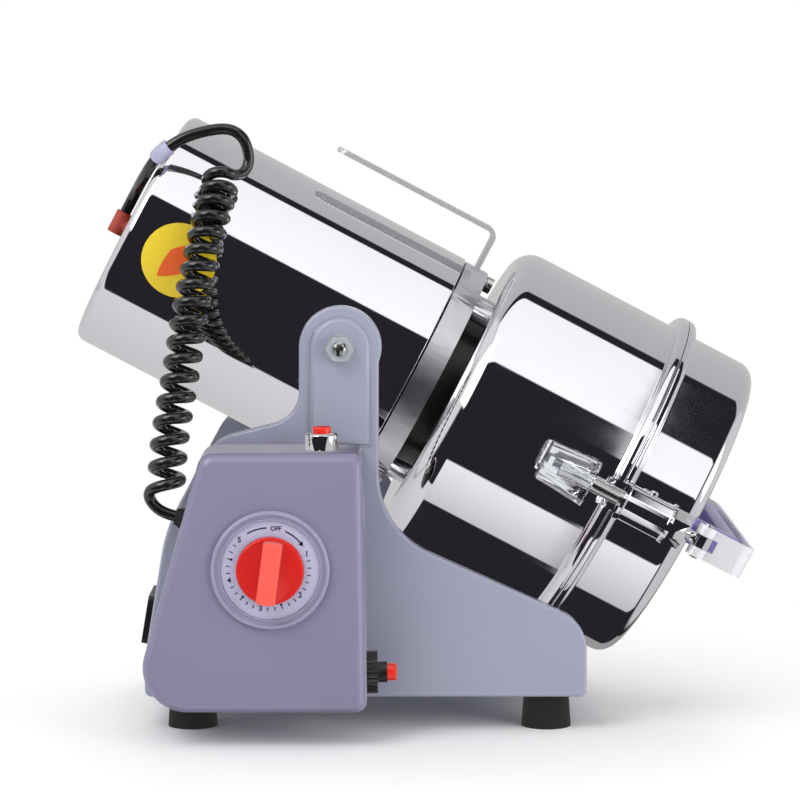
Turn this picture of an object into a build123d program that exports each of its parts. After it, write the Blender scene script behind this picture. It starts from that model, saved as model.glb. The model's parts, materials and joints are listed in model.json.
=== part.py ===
"""Tilting high-speed herb grinder: a motor and bowl that swing between two upright cheeks."""

import math
import os

from build123d import *

os.makedirs("parts", exist_ok=True)

# Clearances and the overrun of cuts
running_clearance = 0.05
seat_clearance = 0.1
body_clearance = 0.3
cut_overrun = 2.0

# Base: sizes are taken from the pivot, across the cheeks' outline
tilt_deg = 27.8
foot_height = 21.2
foot_radius = 15.0
foot_taper = 1.5
foot_recess_radius = 6.0
foot_recess_depth = 8.0
foot_inset_front = 23.3
foot_inset_rear = 27.5
foot_offset = 68.0
saddle_height = 61.3
base_front_reach = 147.0
base_rear_reach = 117.2
toe_height = 44.8
toe_round = 26.0
crotch_height = 100.3
crotch_round = 52.0
neck_right = 22.8
ear_radius = 24.5
shoulder_drop = 41.7
shoulder_round = 20.5
shoulder_end_reach = 75.0
shoulder_end_drop = 54.6
shoulder_end_round = 28.0
flank_reach = 104.0
flank_drop = 108.1
flank_round = 90.0
heel_height = 22.5
heel_round = 60.0
sole_round = 4.0
cheek_half_gap = 82.0
cheek_thickness = 9.0
cheek_edge_round = 2.0
ear_pad_half_width = 17.7
ear_pad_proud = 4.0
ear_pad_edge = 3.0
base_plate_thickness = 6.0
end_plate_height = 66.0
end_plate_thickness = 3.0

# Pivot hardware
journal_radius = 6.0
stud_radius = 4.2
stud_past_nut = 2.0
nut_across_flats = 14.5
nut_thickness = 6.5
washer_radius = 8.8
washer_thickness = 2.0
trunnion_radius = 20.0
trunnion_barrel_radius = 13.0
trunnion_depth = 14.0

# Power inlet on the sloping end
inlet_height = 29.0
inlet_width = 48.0
inlet_proud = 4.3
inlet_body_depth = 16.0
inlet_wall = 3.5
inlet_socket_width = 25.0
inlet_socket_height = 17.0
inlet_socket_depth = 15.0
inlet_round = 3.0
inlet_centre_height = 43.5
inlet_front_offset = 52.0
inlet_pin_width = 4.0
inlet_pin_thickness = 2.0
inlet_pin_length = 11.0
inlet_pin_pitch = 7.0

# Control box on the front cheek
box_depth = 54.0
box_drop = 57.6
box_top_left = 80.0
box_bottom_left = 122.9
box_top_right = 13.8
box_bottom_right = 16.2
box_wall = 2.5
box_edge_round = 7.0
box_big_round = 26.0
box_top_round = 9.0
box_small_round = 6.0

# Timer
dial_offset = 39.7
dial_drop = 124.8
bezel_radius = 34.4
bezel_proud = 4.0
bezel_edge = 1.2
dial_radius = 28.8
dial_thickness = 1.5
knob_radius = 19.7
knob_skirt_height = 5.0
knob_height = 19.0
knob_grip_width = 11.0
knob_grip_edge = 1.5
knob_turn_deg = 7.5
timer_shaft_radius = 3.0
timer_body_width = 44.0
timer_body_depth = 30.0

# Push button on top of the box
button_offset = 10.4
button_bezel_radius = 9.6
button_bezel_height = 9.4
button_cap_radius = 5.5
button_cap_proud = 4.0
button_travel = 3.0
button_barrel_radius = 7.0
button_barrel_length = 22.0
button_lip = 1.0

# Overload reset on the box's side
overload_height = 20.1
overload_nut_radius = 12.5
overload_nut_thickness = 6.4
overload_neck_radius = 6.2
overload_neck_length = 5.6
overload_button_radius = 5.2
overload_button_proud = 5.6
overload_travel = 2.5
overload_body_radius = 11.0
overload_body_length = 28.0
knurl_count = 24
knurl_depth = 0.7

# Motor, measured along the body's axis from the pivot, positive towards the lid
motor_rear = 146.0
motor_front = 45.0
motor_radius = 77.0
motor_wall = 1.5
motor_corner = 6.0
motor_vent_radius = 62.0
end_cover_thickness = 3.0
end_cover_boss_radius = 24.0
vent_count = 12
vent_length = 26.0
vent_width = 6.0
vent_circle = 42.0
rear_bearing_bore = 6.0
rear_bearing_radius = 16.0
rear_bearing_width = 10.0
front_bearing_bore = 7.5
front_bearing_radius = 17.5
front_bearing_width = 11.0
stator_inner = 58.0
stator_rear = 82.0
stator_front = 18.0
coil_inner = 40.0
coil_overhang = 12.0
coil_gap = 34.0
armature_radius = 37.0
winding_outer = 33.0
winding_length = 11.0
commutator_radius = 16.0
commutator_rear = 116.0
commutator_length = 20.0
brush_width = 9.0
brush_length = 20.0
brush_holder_wall = 3.0
shaft_radius = 9.0
fan_rear = 20.0
fan_disc = 2.5
fan_height = 15.0
fan_radius = 68.0
fan_hub_radius = 15.0
fan_blade_count = 10
fan_blade_thickness = 2.0
fan_blade_root = 26.0

# Collar between motor and bowl
ring_gap = 1.2
ring_thickness = 15.0
ring_radius = 76.0
ring_inner = 58.0
bowl_gap = 10.3
cover_thickness = 6.0
hub_radius = 27.0
post_radius = 6.3
post_lift = 53.5
post_front = 42.0
sleeve_radius = 54.0
sleeve_wall = 3.0

# Tilt handle
handle_thickness = 3.0
handle_width = 22.0
handle_radius = 102.5
handle_length = 110.0
handle_bend = 7.0
handle_depth_in_ring = 14.0
handle_bolt_radius = 3.0
handle_bolt_head_radius = 5.0
handle_bolt_head_height = 6.0
handle_bolt_depth = 6.5

# Bowl and lid
bowl_radius = 100.0
bowl_wall = 2.0
bowl_depth = 113.2
bowl_corner_share = 0.556
flange_reach = 8.0
flange_thickness = 6.2
flange_edge = 4.4
lid_height = 51.0
lid_wall = 2.0
lid_corner = 10.0
lid_flange_thickness = 6.0
gasket_width = 5.0
gasket_thickness = 2.5
screw_radius = 2.5
screw_head_radius = 5.0
screw_head_height = 2.5
screw_length = 12.0
seal_radius = 13.0
seal_thickness = 6.0

# Rotor's upper end and blades
upper_shaft_radius = 7.0
thread_radius = 6.0
blade_thickness = 3.0
blade_width = 30.0
blade_hub_radius = 14.0
blade_gap = 8.0
middle_blade_inset = 6.0
upper_blade_inset = 20.0
blade_tip = 24.0
lower_tip_rise = 5.0
middle_tip_rise = 14.0
upper_tip_rise = 26.0
blade_bevel = 9.0
lower_blade_deg = 20.0
middle_blade_deg = 80.0
upper_blade_deg = 140.0
blade_nose_share = 0.45
first_spacer = 9.0
between_spacer = 7.0
blade_nut_height = 10.0
blade_nut_flats = 19.0
shaft_end_past_nut = 2.0

# Lid clamp, on a line beside the rim that faces the front
clamp_past_flange = 10.0
barrel_radius = 12.3
barrel_past_rim = 1.3
barrel_length = 32.5
barrel_collar = 3.0
barrel_collar_step = 1.0
barrel_screw_depth = 5.0
barrel_screw_proud = 2.0
bracket_width = 18.0
bracket_thickness = 4.0
bracket_reach = 5.0
rod_radius = 4.6
rod_bare_length = 20.0
clamp_knob_length = 30.5
clamp_knob_root = 28.0
clamp_knob_tip = 24.0
clamp_knob_round = 7.0
knob_bore_depth = 20.0
hexagon_across_flats = 19.0
hexagon_length = 10.0
hexagon_floor = 2.5
eye_radius = 6.0
eye_width = 7.0
pin_radius = 2.5
pin_past_knuckle = 1.2
eye_neck_radius = 3.4
pin_past_hexagon = 11.0
strap_width = 19.0
strap_thickness = 2.5
strap_rise = 31.0
strap_bend = 9.0
strap_past_lid = 5.5
knuckle_radius = 5.6
window_length = 12.0
grip_inset = 14.0
grip_leg = 15.0
grip_width = 16.0
grip_thickness = 11.0
grip_bend = 12.0
grip_edge = 4.5

# Cord
cord_diameter = 6.8
curl_radius = 8.2
curl_count = 17
curl_end_share = 0.5
curl_start_deg = -90.0
curl_loosen_share = 0.2
bushing_radius = 6.5
bushing_tip_radius = 4.6
bushing_proud = 5.0
bushing_flange = 8.0
bushing_drop = 98.4
grommet_radius = 5.0
grommet_length = 14.0
grommet_base_radius = 7.5
grommet_base_thickness = 1.4
grommet_front = 30.0
wrap_length = 11.0
wrap_wall = 2.5
wrap_clearance = 1.1

# The cord's route, right of, in front of and above the pivot
coil_route = [
    (-70.5, 71.0, 101.0),
    (-73.0, 78.5, 88.5),
    (-76.5, 86.0, 76.0),
    (-82.0, 94.0, 51.0),
    (-88.0, 99.0, 22.0),
    (-93.0, 105.0, -12.0),
    (-97.5, 110.0, -37.0),
    (-101.0, 115.0, -63.0),
    (-101.5, 117.0, -82.0),
]
coil_top = (-56.5, 67.5, 106.0)
loop_route = [
    (-56.5, 67.5, 122.5),
    (-66.5, 67.5, 129.0),
    (-80.0, 67.5, 127.5),
    (-94.5, 69.5, 123.0),
    (-108.5, 69.0, 113.5),
    (-119.0, 52.0, 98.5),
]
loop_last_run = 13.0
wrap_place_share = 0.5

# Places worked out from the sizes above
tilt = math.radians(tilt_deg)
axis_dir = Vector(math.cos(tilt), 0, -math.sin(tilt))
lift_dir = Vector(math.sin(tilt), 0, math.cos(tilt))
front_dir = Vector(0, -1, 0)
cheek_outer = cheek_half_gap + cheek_thickness
box_front = cheek_outer + box_depth
ring_start = motor_front + ring_gap
ring_end = ring_start + ring_thickness
bowl_bottom = ring_end + bowl_gap
bowl_rim = bowl_bottom + bowl_depth
lid_seat = bowl_rim + body_clearance
lid_end = lid_seat + lid_height
flange_radius = bowl_radius + flange_reach
post_circle = math.hypot(post_lift, post_front)
bowl_corner = bowl_corner_share * (bowl_radius - post_circle - screw_head_radius)
gasket_outer = bowl_radius + gasket_width
lower_blade_reach = bowl_radius - bowl_wall - blade_gap
middle_blade_reach = lower_blade_reach - middle_blade_inset
upper_blade_reach = lower_blade_reach - upper_blade_inset
clamp_reach = flange_radius + clamp_past_flange
strap_far_reach = bowl_radius + strap_past_lid
grip_reach = bowl_radius - grip_inset

# The pivot stands as high as the rim needs where it passes between the cheeks
rim_between_cheeks = math.sqrt(flange_radius * flange_radius - cheek_half_gap * cheek_half_gap)
rim_drop = bowl_rim * math.sin(tilt) + rim_between_cheeks * math.cos(tilt)
pivot_over_sole = rim_drop + saddle_height
shoulder_height = pivot_over_sole - shoulder_drop
shoulder_end_height = pivot_over_sole - shoulder_end_drop
flank_height = pivot_over_sole - flank_drop
box_height = pivot_over_sole - box_drop
dial_height = pivot_over_sole - dial_drop
bushing_height = pivot_over_sole - bushing_drop
dial_front = box_front + dial_thickness

# The origin is under the middle of the whole object's box, on the floor
left_reach = motor_rear * math.cos(tilt) + motor_radius * math.sin(tilt)
left_reach -= motor_corner * (math.cos(tilt) + math.sin(tilt) - 1)
right_reach = lid_end * math.cos(tilt) + bowl_radius * math.sin(tilt)
right_reach -= lid_corner * (math.cos(tilt) + math.sin(tilt) - 1)
front_reach = dial_front + body_clearance + knob_height
rear_reach = flange_radius
pivot = Vector(
    (left_reach - right_reach) / 2,
    (front_reach - rear_reach) / 2,
    foot_height + pivot_over_sole,
)
sole = -pivot_over_sole
ear_pad_length = pivot_over_sole - box_height - seat_clearance
middle = Plane(origin=(0, pivot.Y, 0), x_dir=(1, 0, 0), z_dir=(0, -1, 0))
lengthwise = Plane(origin=pivot, x_dir=lift_dir, z_dir=(0, 1, 0))
body_axis = Axis(pivot, axis_dir)


def upright(front):
    """Upright plane facing the front, this far in front of the middle, centred on the pivot."""
    return Plane(origin=pivot + front_dir * front, x_dir=(1, 0, 0), z_dir=(0, -1, 0))


def level(height):
    """Level plane at this height above the sole, centred under the pivot."""
    return Plane(origin=(pivot.X, pivot.Y, foot_height + height))


def across(along, lift=0.0, front=0.0):
    """Plane square to the body's axis; its x is the lift and its y points to the front."""
    spot = pivot + axis_dir * along + lift_dir * lift + front_dir * front
    return Plane(origin=spot, x_dir=lift_dir, z_dir=axis_dir)


def finish(piece, name):
    """Label a finished piece and write it."""
    piece.part.label = name
    export_step(piece.part, f"parts/{name}.step")


# Base casting, plate by plate
cheek_points = [
    (base_front_reach, sole),
    (base_front_reach, sole + toe_height),
    (neck_right, sole + crotch_height),
    (neck_right, 0),
    (-ear_radius, 0),
    (-ear_radius, sole + shoulder_height),
    (-shoulder_end_reach, sole + shoulder_end_height),
    (-flank_reach, sole + flank_height),
    (-base_rear_reach, sole + heel_height),
    (-base_rear_reach, sole),
]
cheek_rounds = [
    sole_round,
    toe_round,
    crotch_round,
    0,
    0,
    shoulder_round,
    shoulder_end_round,
    flank_round,
    heel_round,
    sole_round,
]

with BuildPart() as front_cheek:
    with BuildSketch(upright(cheek_half_gap)):
        with BuildLine():
            FilletPolyline(*cheek_points, radius=cheek_rounds, close=True)
        make_face()
        Circle(ear_radius)
    extrude(amount=cheek_thickness)
    fillet(front_cheek.faces().sort_by(Axis.Y)[0].edges(), cheek_edge_round)
    with BuildSketch(upright(cheek_outer)) as ear_pad:
        Circle(ear_pad_half_width)
        with Locations((0, -ear_pad_length / 2)):
            Rectangle(2 * ear_pad_half_width, ear_pad_length)
    extrude(amount=ear_pad_proud)
    fillet(front_cheek.faces().sort_by(Axis.Y)[0].edges(), ear_pad_edge)
    with BuildSketch(upright(cheek_half_gap)):
        Circle(journal_radius + running_clearance)
    extrude(amount=cheek_thickness + ear_pad_proud, mode=Mode.SUBTRACT)

with BuildPart() as rear_cheek:
    mirror(front_cheek.part, about=middle)

with BuildPart() as base_plate:
    with BuildSketch(level(0)):
        with Locations(((base_front_reach - base_rear_reach) / 2, 0)):
            Rectangle(base_front_reach + base_rear_reach - 2 * end_plate_thickness, 2 * cheek_half_gap)
    extrude(amount=base_plate_thickness)

foot_mid_x = (base_front_reach - foot_inset_front - base_rear_reach + foot_inset_rear) / 2
foot_span_x = base_front_reach - foot_inset_front + base_rear_reach - foot_inset_rear
foot_places = [
    (foot_mid_x + side * foot_span_x / 2, end * foot_offset) for side in (-1, 1) for end in (-1, 1)
]

with BuildPart() as base_plate_drilled:
    add(base_plate.part)
    with BuildSketch(level(0)):
        with Locations(*foot_places):
            Circle(screw_radius + seat_clearance)
    extrude(amount=base_plate_thickness, mode=Mode.SUBTRACT)

with BuildPart() as feet:
    with BuildSketch(level(-foot_height)):
        with Locations(*foot_places):
            Circle(foot_radius)
    extrude(amount=foot_height, taper=math.degrees(math.atan2(foot_taper, foot_height)))
    with BuildSketch(level(-foot_height)):
        with Locations(*foot_places):
            Circle(foot_recess_radius)
    extrude(amount=foot_recess_depth, mode=Mode.SUBTRACT)
    with BuildSketch(level(-foot_height)):
        with Locations(*foot_places):
            Circle(screw_radius + seat_clearance)
    extrude(amount=foot_height, mode=Mode.SUBTRACT)

with BuildPart() as foot_screws:
    with BuildSketch(level(foot_recess_depth - foot_height)):
        with Locations(*foot_places):
            Circle(screw_radius)
    extrude(amount=foot_height - foot_recess_depth + base_plate_thickness)
    with BuildSketch(level(foot_recess_depth - foot_height)):
        with Locations(*foot_places):
            Circle(screw_head_radius)
    extrude(amount=-screw_head_height)

# The sloping end between the cheeks, low enough to clear the motor's swing
heel_run = end_plate_height - heel_height
heel_slope = (base_rear_reach - flank_reach) / (flank_height - heel_height)
end_plate_top = base_rear_reach - heel_run * heel_slope
end_points = [
    (-base_rear_reach, sole),
    (-base_rear_reach, sole + heel_height),
    (-end_plate_top, sole + end_plate_height),
    (-end_plate_top + end_plate_thickness, sole + end_plate_height),
    (-base_rear_reach + end_plate_thickness, sole + heel_height),
    (-base_rear_reach + end_plate_thickness, sole),
]
slope_angle = math.atan(heel_slope)
slope_out = Vector(-math.cos(slope_angle), 0, math.sin(slope_angle))
slope_up = Vector(math.sin(slope_angle), 0, math.cos(slope_angle))
inlet_reach = base_rear_reach - (inlet_centre_height - heel_height) * heel_slope
inlet_spot = pivot + Vector(-inlet_reach, -inlet_front_offset, sole + inlet_centre_height)


def inlet_plane(out):
    """Plane on the sloping end at the inlet; its x runs to the front and its y up the slope."""
    return Plane(origin=inlet_spot + slope_out * out, x_dir=slope_up.cross(slope_out), z_dir=slope_out)


with BuildPart() as end_plate:
    with BuildSketch(upright(-cheek_half_gap)):
        with BuildLine():
            Polyline(*end_points, close=True)
        make_face()
    extrude(amount=2 * cheek_half_gap)
    with BuildSketch(inlet_plane(0)):
        Rectangle(
            inlet_socket_width + 2 * (inlet_wall + seat_clearance),
            inlet_socket_height + 2 * (inlet_wall + seat_clearance),
        )
    extrude(amount=cut_overrun + end_plate_thickness, both=True, mode=Mode.SUBTRACT)

with BuildPart() as power_inlet:
    with BuildSketch(inlet_plane(0)):
        RectangleRounded(inlet_width, inlet_height, inlet_round)
    extrude(amount=inlet_proud)
    with BuildSketch(inlet_plane(0)):
        Rectangle(inlet_socket_width + 2 * inlet_wall, inlet_socket_height + 2 * inlet_wall)
    extrude(amount=-inlet_body_depth)
    with BuildSketch(inlet_plane(inlet_proud)):
        RectangleRounded(inlet_socket_width, inlet_socket_height, inlet_round)
    extrude(amount=-inlet_socket_depth, mode=Mode.SUBTRACT)
    with BuildSketch(inlet_plane(inlet_proud - inlet_socket_depth)):
        with Locations((-inlet_pin_pitch, 0), (0, inlet_pin_thickness), (inlet_pin_pitch, 0)):
            Rectangle(inlet_pin_thickness, inlet_pin_width)
    extrude(amount=inlet_pin_length)

# Pivot hardware, one set on each cheek
washer_start = cheek_outer + ear_pad_proud
nut_start = washer_start + washer_thickness
stud_end = nut_start + nut_thickness + stud_past_nut
trunnion_face = cheek_half_gap - body_clearance

with BuildPart() as pivot_bolts:
    with BuildSketch(upright(trunnion_face - trunnion_depth)):
        Circle(journal_radius)
    extrude(amount=washer_start - trunnion_face + trunnion_depth)
    with BuildSketch(upright(washer_start)):
        Circle(stud_radius)
    extrude(amount=stud_end - washer_start)
    mirror(pivot_bolts.part, about=middle)

with BuildPart() as pivot_washers:
    with BuildSketch(upright(washer_start)):
        Circle(washer_radius)
        Circle(stud_radius + seat_clearance, mode=Mode.SUBTRACT)
    extrude(amount=washer_thickness)
    mirror(pivot_washers.part, about=middle)

with BuildPart() as pivot_nuts:
    with BuildSketch(upright(nut_start)):
        RegularPolygon(nut_across_flats / 2, 6, major_radius=False)
        Circle(stud_radius + seat_clearance, mode=Mode.SUBTRACT)
    extrude(amount=nut_thickness)
    mirror(pivot_nuts.part, about=middle)

with BuildPart() as trunnions:
    with BuildSketch(upright(trunnion_face - trunnion_depth)):
        Circle(trunnion_radius)
    extrude(amount=trunnion_depth)
    with BuildSketch(across(-trunnion_radius)):
        Circle(motor_radius)
    extrude(amount=2 * trunnion_radius, mode=Mode.SUBTRACT)
    with BuildSketch(upright(trunnion_face - trunnion_depth)):
        Circle(trunnion_barrel_radius)
    extrude(amount=trunnion_depth)
    with BuildSketch(upright(trunnion_face - trunnion_depth)):
        Circle(journal_radius + running_clearance)
    extrude(amount=trunnion_depth, mode=Mode.SUBTRACT)
    mirror(trunnions.part, about=middle)

# Control box: a moulded shell, open towards the cheek
box_points = [
    (box_bottom_right, sole),
    (box_top_right, sole + box_height),
    (-box_top_left, sole + box_height),
    (-box_bottom_left, sole),
]
box_rounds = [box_small_round, box_small_round, box_top_round, box_big_round]
box_slope = math.atan2(box_bottom_left - box_top_left, box_height)
box_left_out = Vector(-math.cos(box_slope), 0, math.sin(box_slope))
bushing_reach = box_bottom_left - bushing_height * math.tan(box_slope)
box_middle = cheek_outer + box_depth / 2
bushing_spot = pivot + Vector(-bushing_reach, -box_middle, sole + bushing_height)
side_slope = math.atan2(box_bottom_right - box_top_right, box_height)
box_right_out = Vector(math.cos(side_slope), 0, math.sin(side_slope))
overload_reach = box_bottom_right - overload_height * math.tan(side_slope)
overload_spot = pivot + Vector(overload_reach, -box_middle, sole + overload_height)
button_spot = pivot + Vector(-button_offset, -box_middle, sole + box_height)


def left_side(out):
    """Plane on the box's sloping left side at the cord's bushing."""
    return Plane(origin=bushing_spot + box_left_out * out, x_dir=front_dir, z_dir=box_left_out)


def right_side(out):
    """Plane on the box's right side at the overload reset."""
    return Plane(origin=overload_spot + box_right_out * out, x_dir=front_dir, z_dir=box_right_out)


def box_top(up):
    """Level plane over the box's top at the push button."""
    return Plane(origin=button_spot + Vector(0, 0, up))


def dial_plane(front):
    """Upright plane at the dial's centre, its x turned with the knob."""
    spot = pivot + Vector(-dial_offset, -front, sole + dial_height)
    turn = math.radians(knob_turn_deg)
    return Plane(origin=spot, x_dir=(math.cos(turn), 0, -math.sin(turn)), z_dir=front_dir)


with BuildPart() as control_box:
    with BuildSketch(upright(cheek_outer)):
        with BuildLine():
            FilletPolyline(*box_points, radius=box_rounds, close=True)
        make_face()
    extrude(amount=box_depth)
    fillet(control_box.faces().sort_by(Axis.Y)[0].edges(), box_edge_round)
    offset(amount=-box_wall, openings=control_box.faces().sort_by(Axis.Y)[-1])
    with BuildSketch(dial_plane(box_front - box_wall)):
        Circle(timer_shaft_radius + seat_clearance)
    extrude(amount=cut_overrun + box_wall, both=True, mode=Mode.SUBTRACT)
    with BuildSketch(left_side(0)):
        Circle(bushing_tip_radius)
    extrude(amount=cut_overrun + box_wall, both=True, mode=Mode.SUBTRACT)
    with BuildSketch(right_side(0)):
        Circle(overload_neck_radius + seat_clearance)
    extrude(amount=cut_overrun + box_wall, both=True, mode=Mode.SUBTRACT)
    with BuildSketch(box_top(0)):
        Circle(button_barrel_radius + seat_clearance)
    extrude(amount=cut_overrun + box_wall, both=True, mode=Mode.SUBTRACT)

# Timer: bezel, printed disc, works and knob
with BuildPart() as timer_bezel:
    with BuildSketch(dial_plane(box_front)):
        Circle(bezel_radius)
        Circle(dial_radius + seat_clearance, mode=Mode.SUBTRACT)
    extrude(amount=bezel_proud)
    fillet(timer_bezel.faces().sort_by(Axis.Y)[0].edges(), bezel_edge)

with BuildPart() as timer_dial:
    with BuildSketch(dial_plane(box_front)):
        Circle(dial_radius)
        Circle(timer_shaft_radius + seat_clearance, mode=Mode.SUBTRACT)
    extrude(amount=dial_thickness)

with BuildPart() as timer_body:
    with BuildSketch(dial_plane(box_front - box_wall)):
        RectangleRounded(timer_body_width, timer_body_width, timer_shaft_radius)
    extrude(amount=-timer_body_depth)
    with BuildSketch(dial_plane(box_front - box_wall)):
        Circle(timer_shaft_radius)
    extrude(amount=box_wall + dial_thickness + knob_height / 2)

knob_start = dial_front + body_clearance
with BuildPart() as timer_knob:
    with BuildSketch(dial_plane(knob_start)):
        Circle(knob_radius)
    extrude(amount=knob_skirt_height)
    fillet(timer_knob.faces().sort_by(Axis.Y)[0].edges(), knob_grip_edge)
    with BuildSketch(dial_plane(knob_start)):
        Circle(knob_radius - knob_grip_edge)
        Rectangle(knob_grip_width, 2 * knob_radius, mode=Mode.INTERSECT)
    extrude(amount=knob_height)
    fillet(timer_knob.faces().sort_by(Axis.Y)[0].edges(), knob_grip_edge)
    with BuildSketch(dial_plane(knob_start)):
        Circle(timer_shaft_radius + running_clearance)
    extrude(amount=knob_height / 2, mode=Mode.SUBTRACT)

# Push button
with BuildPart() as button_bezel:
    with BuildSketch(box_top(0)):
        Circle(button_bezel_radius)
    extrude(amount=button_bezel_height)
    chamfer(button_bezel.faces().sort_by(Axis.Z)[-1].edges(), button_lip)
    with BuildSketch(box_top(0)):
        Circle(button_barrel_radius)
    extrude(amount=-button_barrel_length)
    with BuildSketch(box_top(button_bezel_height)):
        Circle(button_cap_radius + running_clearance)
    extrude(amount=-button_bezel_height - button_travel, mode=Mode.SUBTRACT)

with BuildPart() as power_button:
    with BuildSketch(box_top(body_clearance)):
        Circle(button_cap_radius)
    extrude(amount=button_bezel_height + button_cap_proud - body_clearance)
    fillet(power_button.faces().sort_by(Axis.Z)[-1].edges(), button_lip)

# Overload reset: body, knurled nut and button
with BuildPart() as overload_body:
    with BuildSketch(right_side(-box_wall)):
        Circle(overload_body_radius)
    extrude(amount=-overload_body_length)
    with BuildSketch(right_side(-box_wall)):
        Circle(overload_neck_radius)
    extrude(amount=box_wall + overload_nut_thickness + overload_neck_length)
    with BuildSketch(right_side(overload_nut_thickness + overload_neck_length)):
        Circle(overload_button_radius + running_clearance)
    extrude(amount=-overload_neck_length - overload_travel - overload_nut_thickness, mode=Mode.SUBTRACT)

with BuildPart() as overload_nut:
    with BuildSketch(right_side(0)):
        Circle(overload_nut_radius)
        with PolarLocations(overload_nut_radius, knurl_count):
            Rectangle(2 * knurl_depth, 2 * knurl_depth, rotation=45, mode=Mode.SUBTRACT)
        Circle(overload_neck_radius + seat_clearance, mode=Mode.SUBTRACT)
    extrude(amount=overload_nut_thickness)

with BuildPart() as reset_button:
    with BuildSketch(right_side(body_clearance)):
        Circle(overload_button_radius)
    extrude(
        amount=overload_nut_thickness + overload_neck_length + overload_button_proud - body_clearance
    )
    fillet(reset_button.faces().sort_by(Axis.X)[-1].edges(), button_lip)

# Motor housing, a drawn can with a rolled-in rear lip
housing_points = [
    (motor_radius, motor_front),
    (motor_radius, -motor_rear),
    (motor_vent_radius, -motor_rear),
    (motor_vent_radius, motor_wall - motor_rear),
    (motor_radius - motor_wall, motor_wall - motor_rear),
    (motor_radius - motor_wall, motor_front),
]
housing_rounds = [0, motor_corner, 0, 0, motor_corner - motor_wall, 0]

with BuildPart() as motor_housing:
    with BuildSketch(lengthwise):
        with BuildLine():
            FilletPolyline(*housing_points, radius=housing_rounds, close=True)
        make_face()
    revolve(axis=body_axis)
    with BuildSketch(upright(0)):
        Circle(trunnion_barrel_radius + seat_clearance)
    extrude(amount=motor_radius + cut_overrun, both=True, mode=Mode.SUBTRACT)

# End cover with its vents and the rear bearing's seat
cover_start = motor_wall - motor_rear
cover_radius = motor_radius - motor_corner
rear_bearing_start = cover_start + end_cover_thickness
boss_end = rear_bearing_start + rear_bearing_width
cover_points = [
    (0, cover_start),
    (cover_radius, cover_start),
    (cover_radius, rear_bearing_start),
    (end_cover_boss_radius, rear_bearing_start),
    (end_cover_boss_radius, boss_end),
    (rear_bearing_radius + seat_clearance, boss_end),
    (rear_bearing_radius + seat_clearance, rear_bearing_start),
    (0, rear_bearing_start),
]

with BuildPart() as end_cover:
    with BuildSketch(lengthwise):
        with BuildLine():
            Polyline(*cover_points, close=True)
        make_face()
    revolve(axis=body_axis)
    with BuildSketch(across(cover_start)):
        with PolarLocations(vent_circle, vent_count, start_angle=180 / vent_count):
            SlotOverall(vent_length, vent_width)
    extrude(amount=end_cover_thickness, mode=Mode.SUBTRACT)

front_bearing_start = ring_start
with BuildPart() as bearings:
    with BuildSketch(across(rear_bearing_start)):
        Circle(rear_bearing_radius)
        Circle(rear_bearing_bore + running_clearance, mode=Mode.SUBTRACT)
    extrude(amount=rear_bearing_width)
    with BuildSketch(across(front_bearing_start)):
        Circle(front_bearing_radius)
        Circle(front_bearing_bore + running_clearance, mode=Mode.SUBTRACT)
    extrude(amount=front_bearing_width)

# Stator with its two field coils
with BuildPart() as stator_core:
    with BuildSketch(across(-stator_rear)):
        Circle(motor_radius - motor_wall - seat_clearance)
        Circle(stator_inner, mode=Mode.SUBTRACT)
    extrude(amount=stator_rear - stator_front)

with BuildPart() as field_coils:
    with BuildSketch(across(-stator_rear - coil_overhang)):
        Circle(stator_inner - seat_clearance)
        Circle(coil_inner, mode=Mode.SUBTRACT)
        Rectangle(coil_gap, 2 * stator_inner, mode=Mode.SUBTRACT)
    extrude(amount=stator_rear - stator_front + 2 * coil_overhang)

# Brushes bear on the commutator from both sides
brush_middle = commutator_length / 2 - commutator_rear
brush_seat = commutator_radius + body_clearance
with BuildPart() as carbon_brushes:
    with BuildSketch(across(brush_middle - brush_width / 2)):
        with Locations((brush_seat + brush_length / 2, 0), (-brush_seat - brush_length / 2, 0)):
            Rectangle(brush_length, brush_width)
    extrude(amount=brush_width)

holder_outer = motor_radius - motor_wall - seat_clearance
holder_half = brush_width / 2 + brush_holder_wall
holder_start = brush_seat + brush_length / 2
with BuildPart() as brush_holders:
    with BuildSketch(across(brush_middle - holder_half)):
        Circle(holder_outer)
        with Locations((holder_start + holder_outer / 2, 0), (-holder_start - holder_outer / 2, 0)):
            Rectangle(holder_outer, 2 * holder_half, mode=Mode.INTERSECT)
    extrude(amount=2 * holder_half)
    with BuildSketch(across(brush_middle - brush_width / 2 - seat_clearance)):
        with Locations((brush_seat + brush_length / 2, 0), (-brush_seat - brush_length / 2, 0)):
            Rectangle(brush_length + 2 * seat_clearance, brush_width + 2 * seat_clearance)
    extrude(amount=brush_width + 2 * seat_clearance, mode=Mode.SUBTRACT)

# Collar: motor cover, hub, posts and the bright ring in one casting
cover_inner = motor_front - cover_thickness
collar_cover_radius = motor_radius - motor_wall - seat_clearance
bearing_end = front_bearing_start + front_bearing_width
handle_middle = ring_start + ring_thickness / 2
handle_foot = ring_radius - handle_depth_in_ring
bell_points = [
    (front_bearing_radius + seat_clearance, cover_inner),
    (collar_cover_radius, cover_inner),
    (collar_cover_radius, motor_front),
    (hub_radius, motor_front),
    (hub_radius, bowl_bottom),
    (seal_radius + seat_clearance, bowl_bottom),
    (seal_radius + seat_clearance, bearing_end),
    (front_bearing_radius + seat_clearance, bearing_end),
]
post_grid = [
    (lift * post_lift, front * post_front) for lift in (-1, 1) for front in (-1, 1)
]

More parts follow.
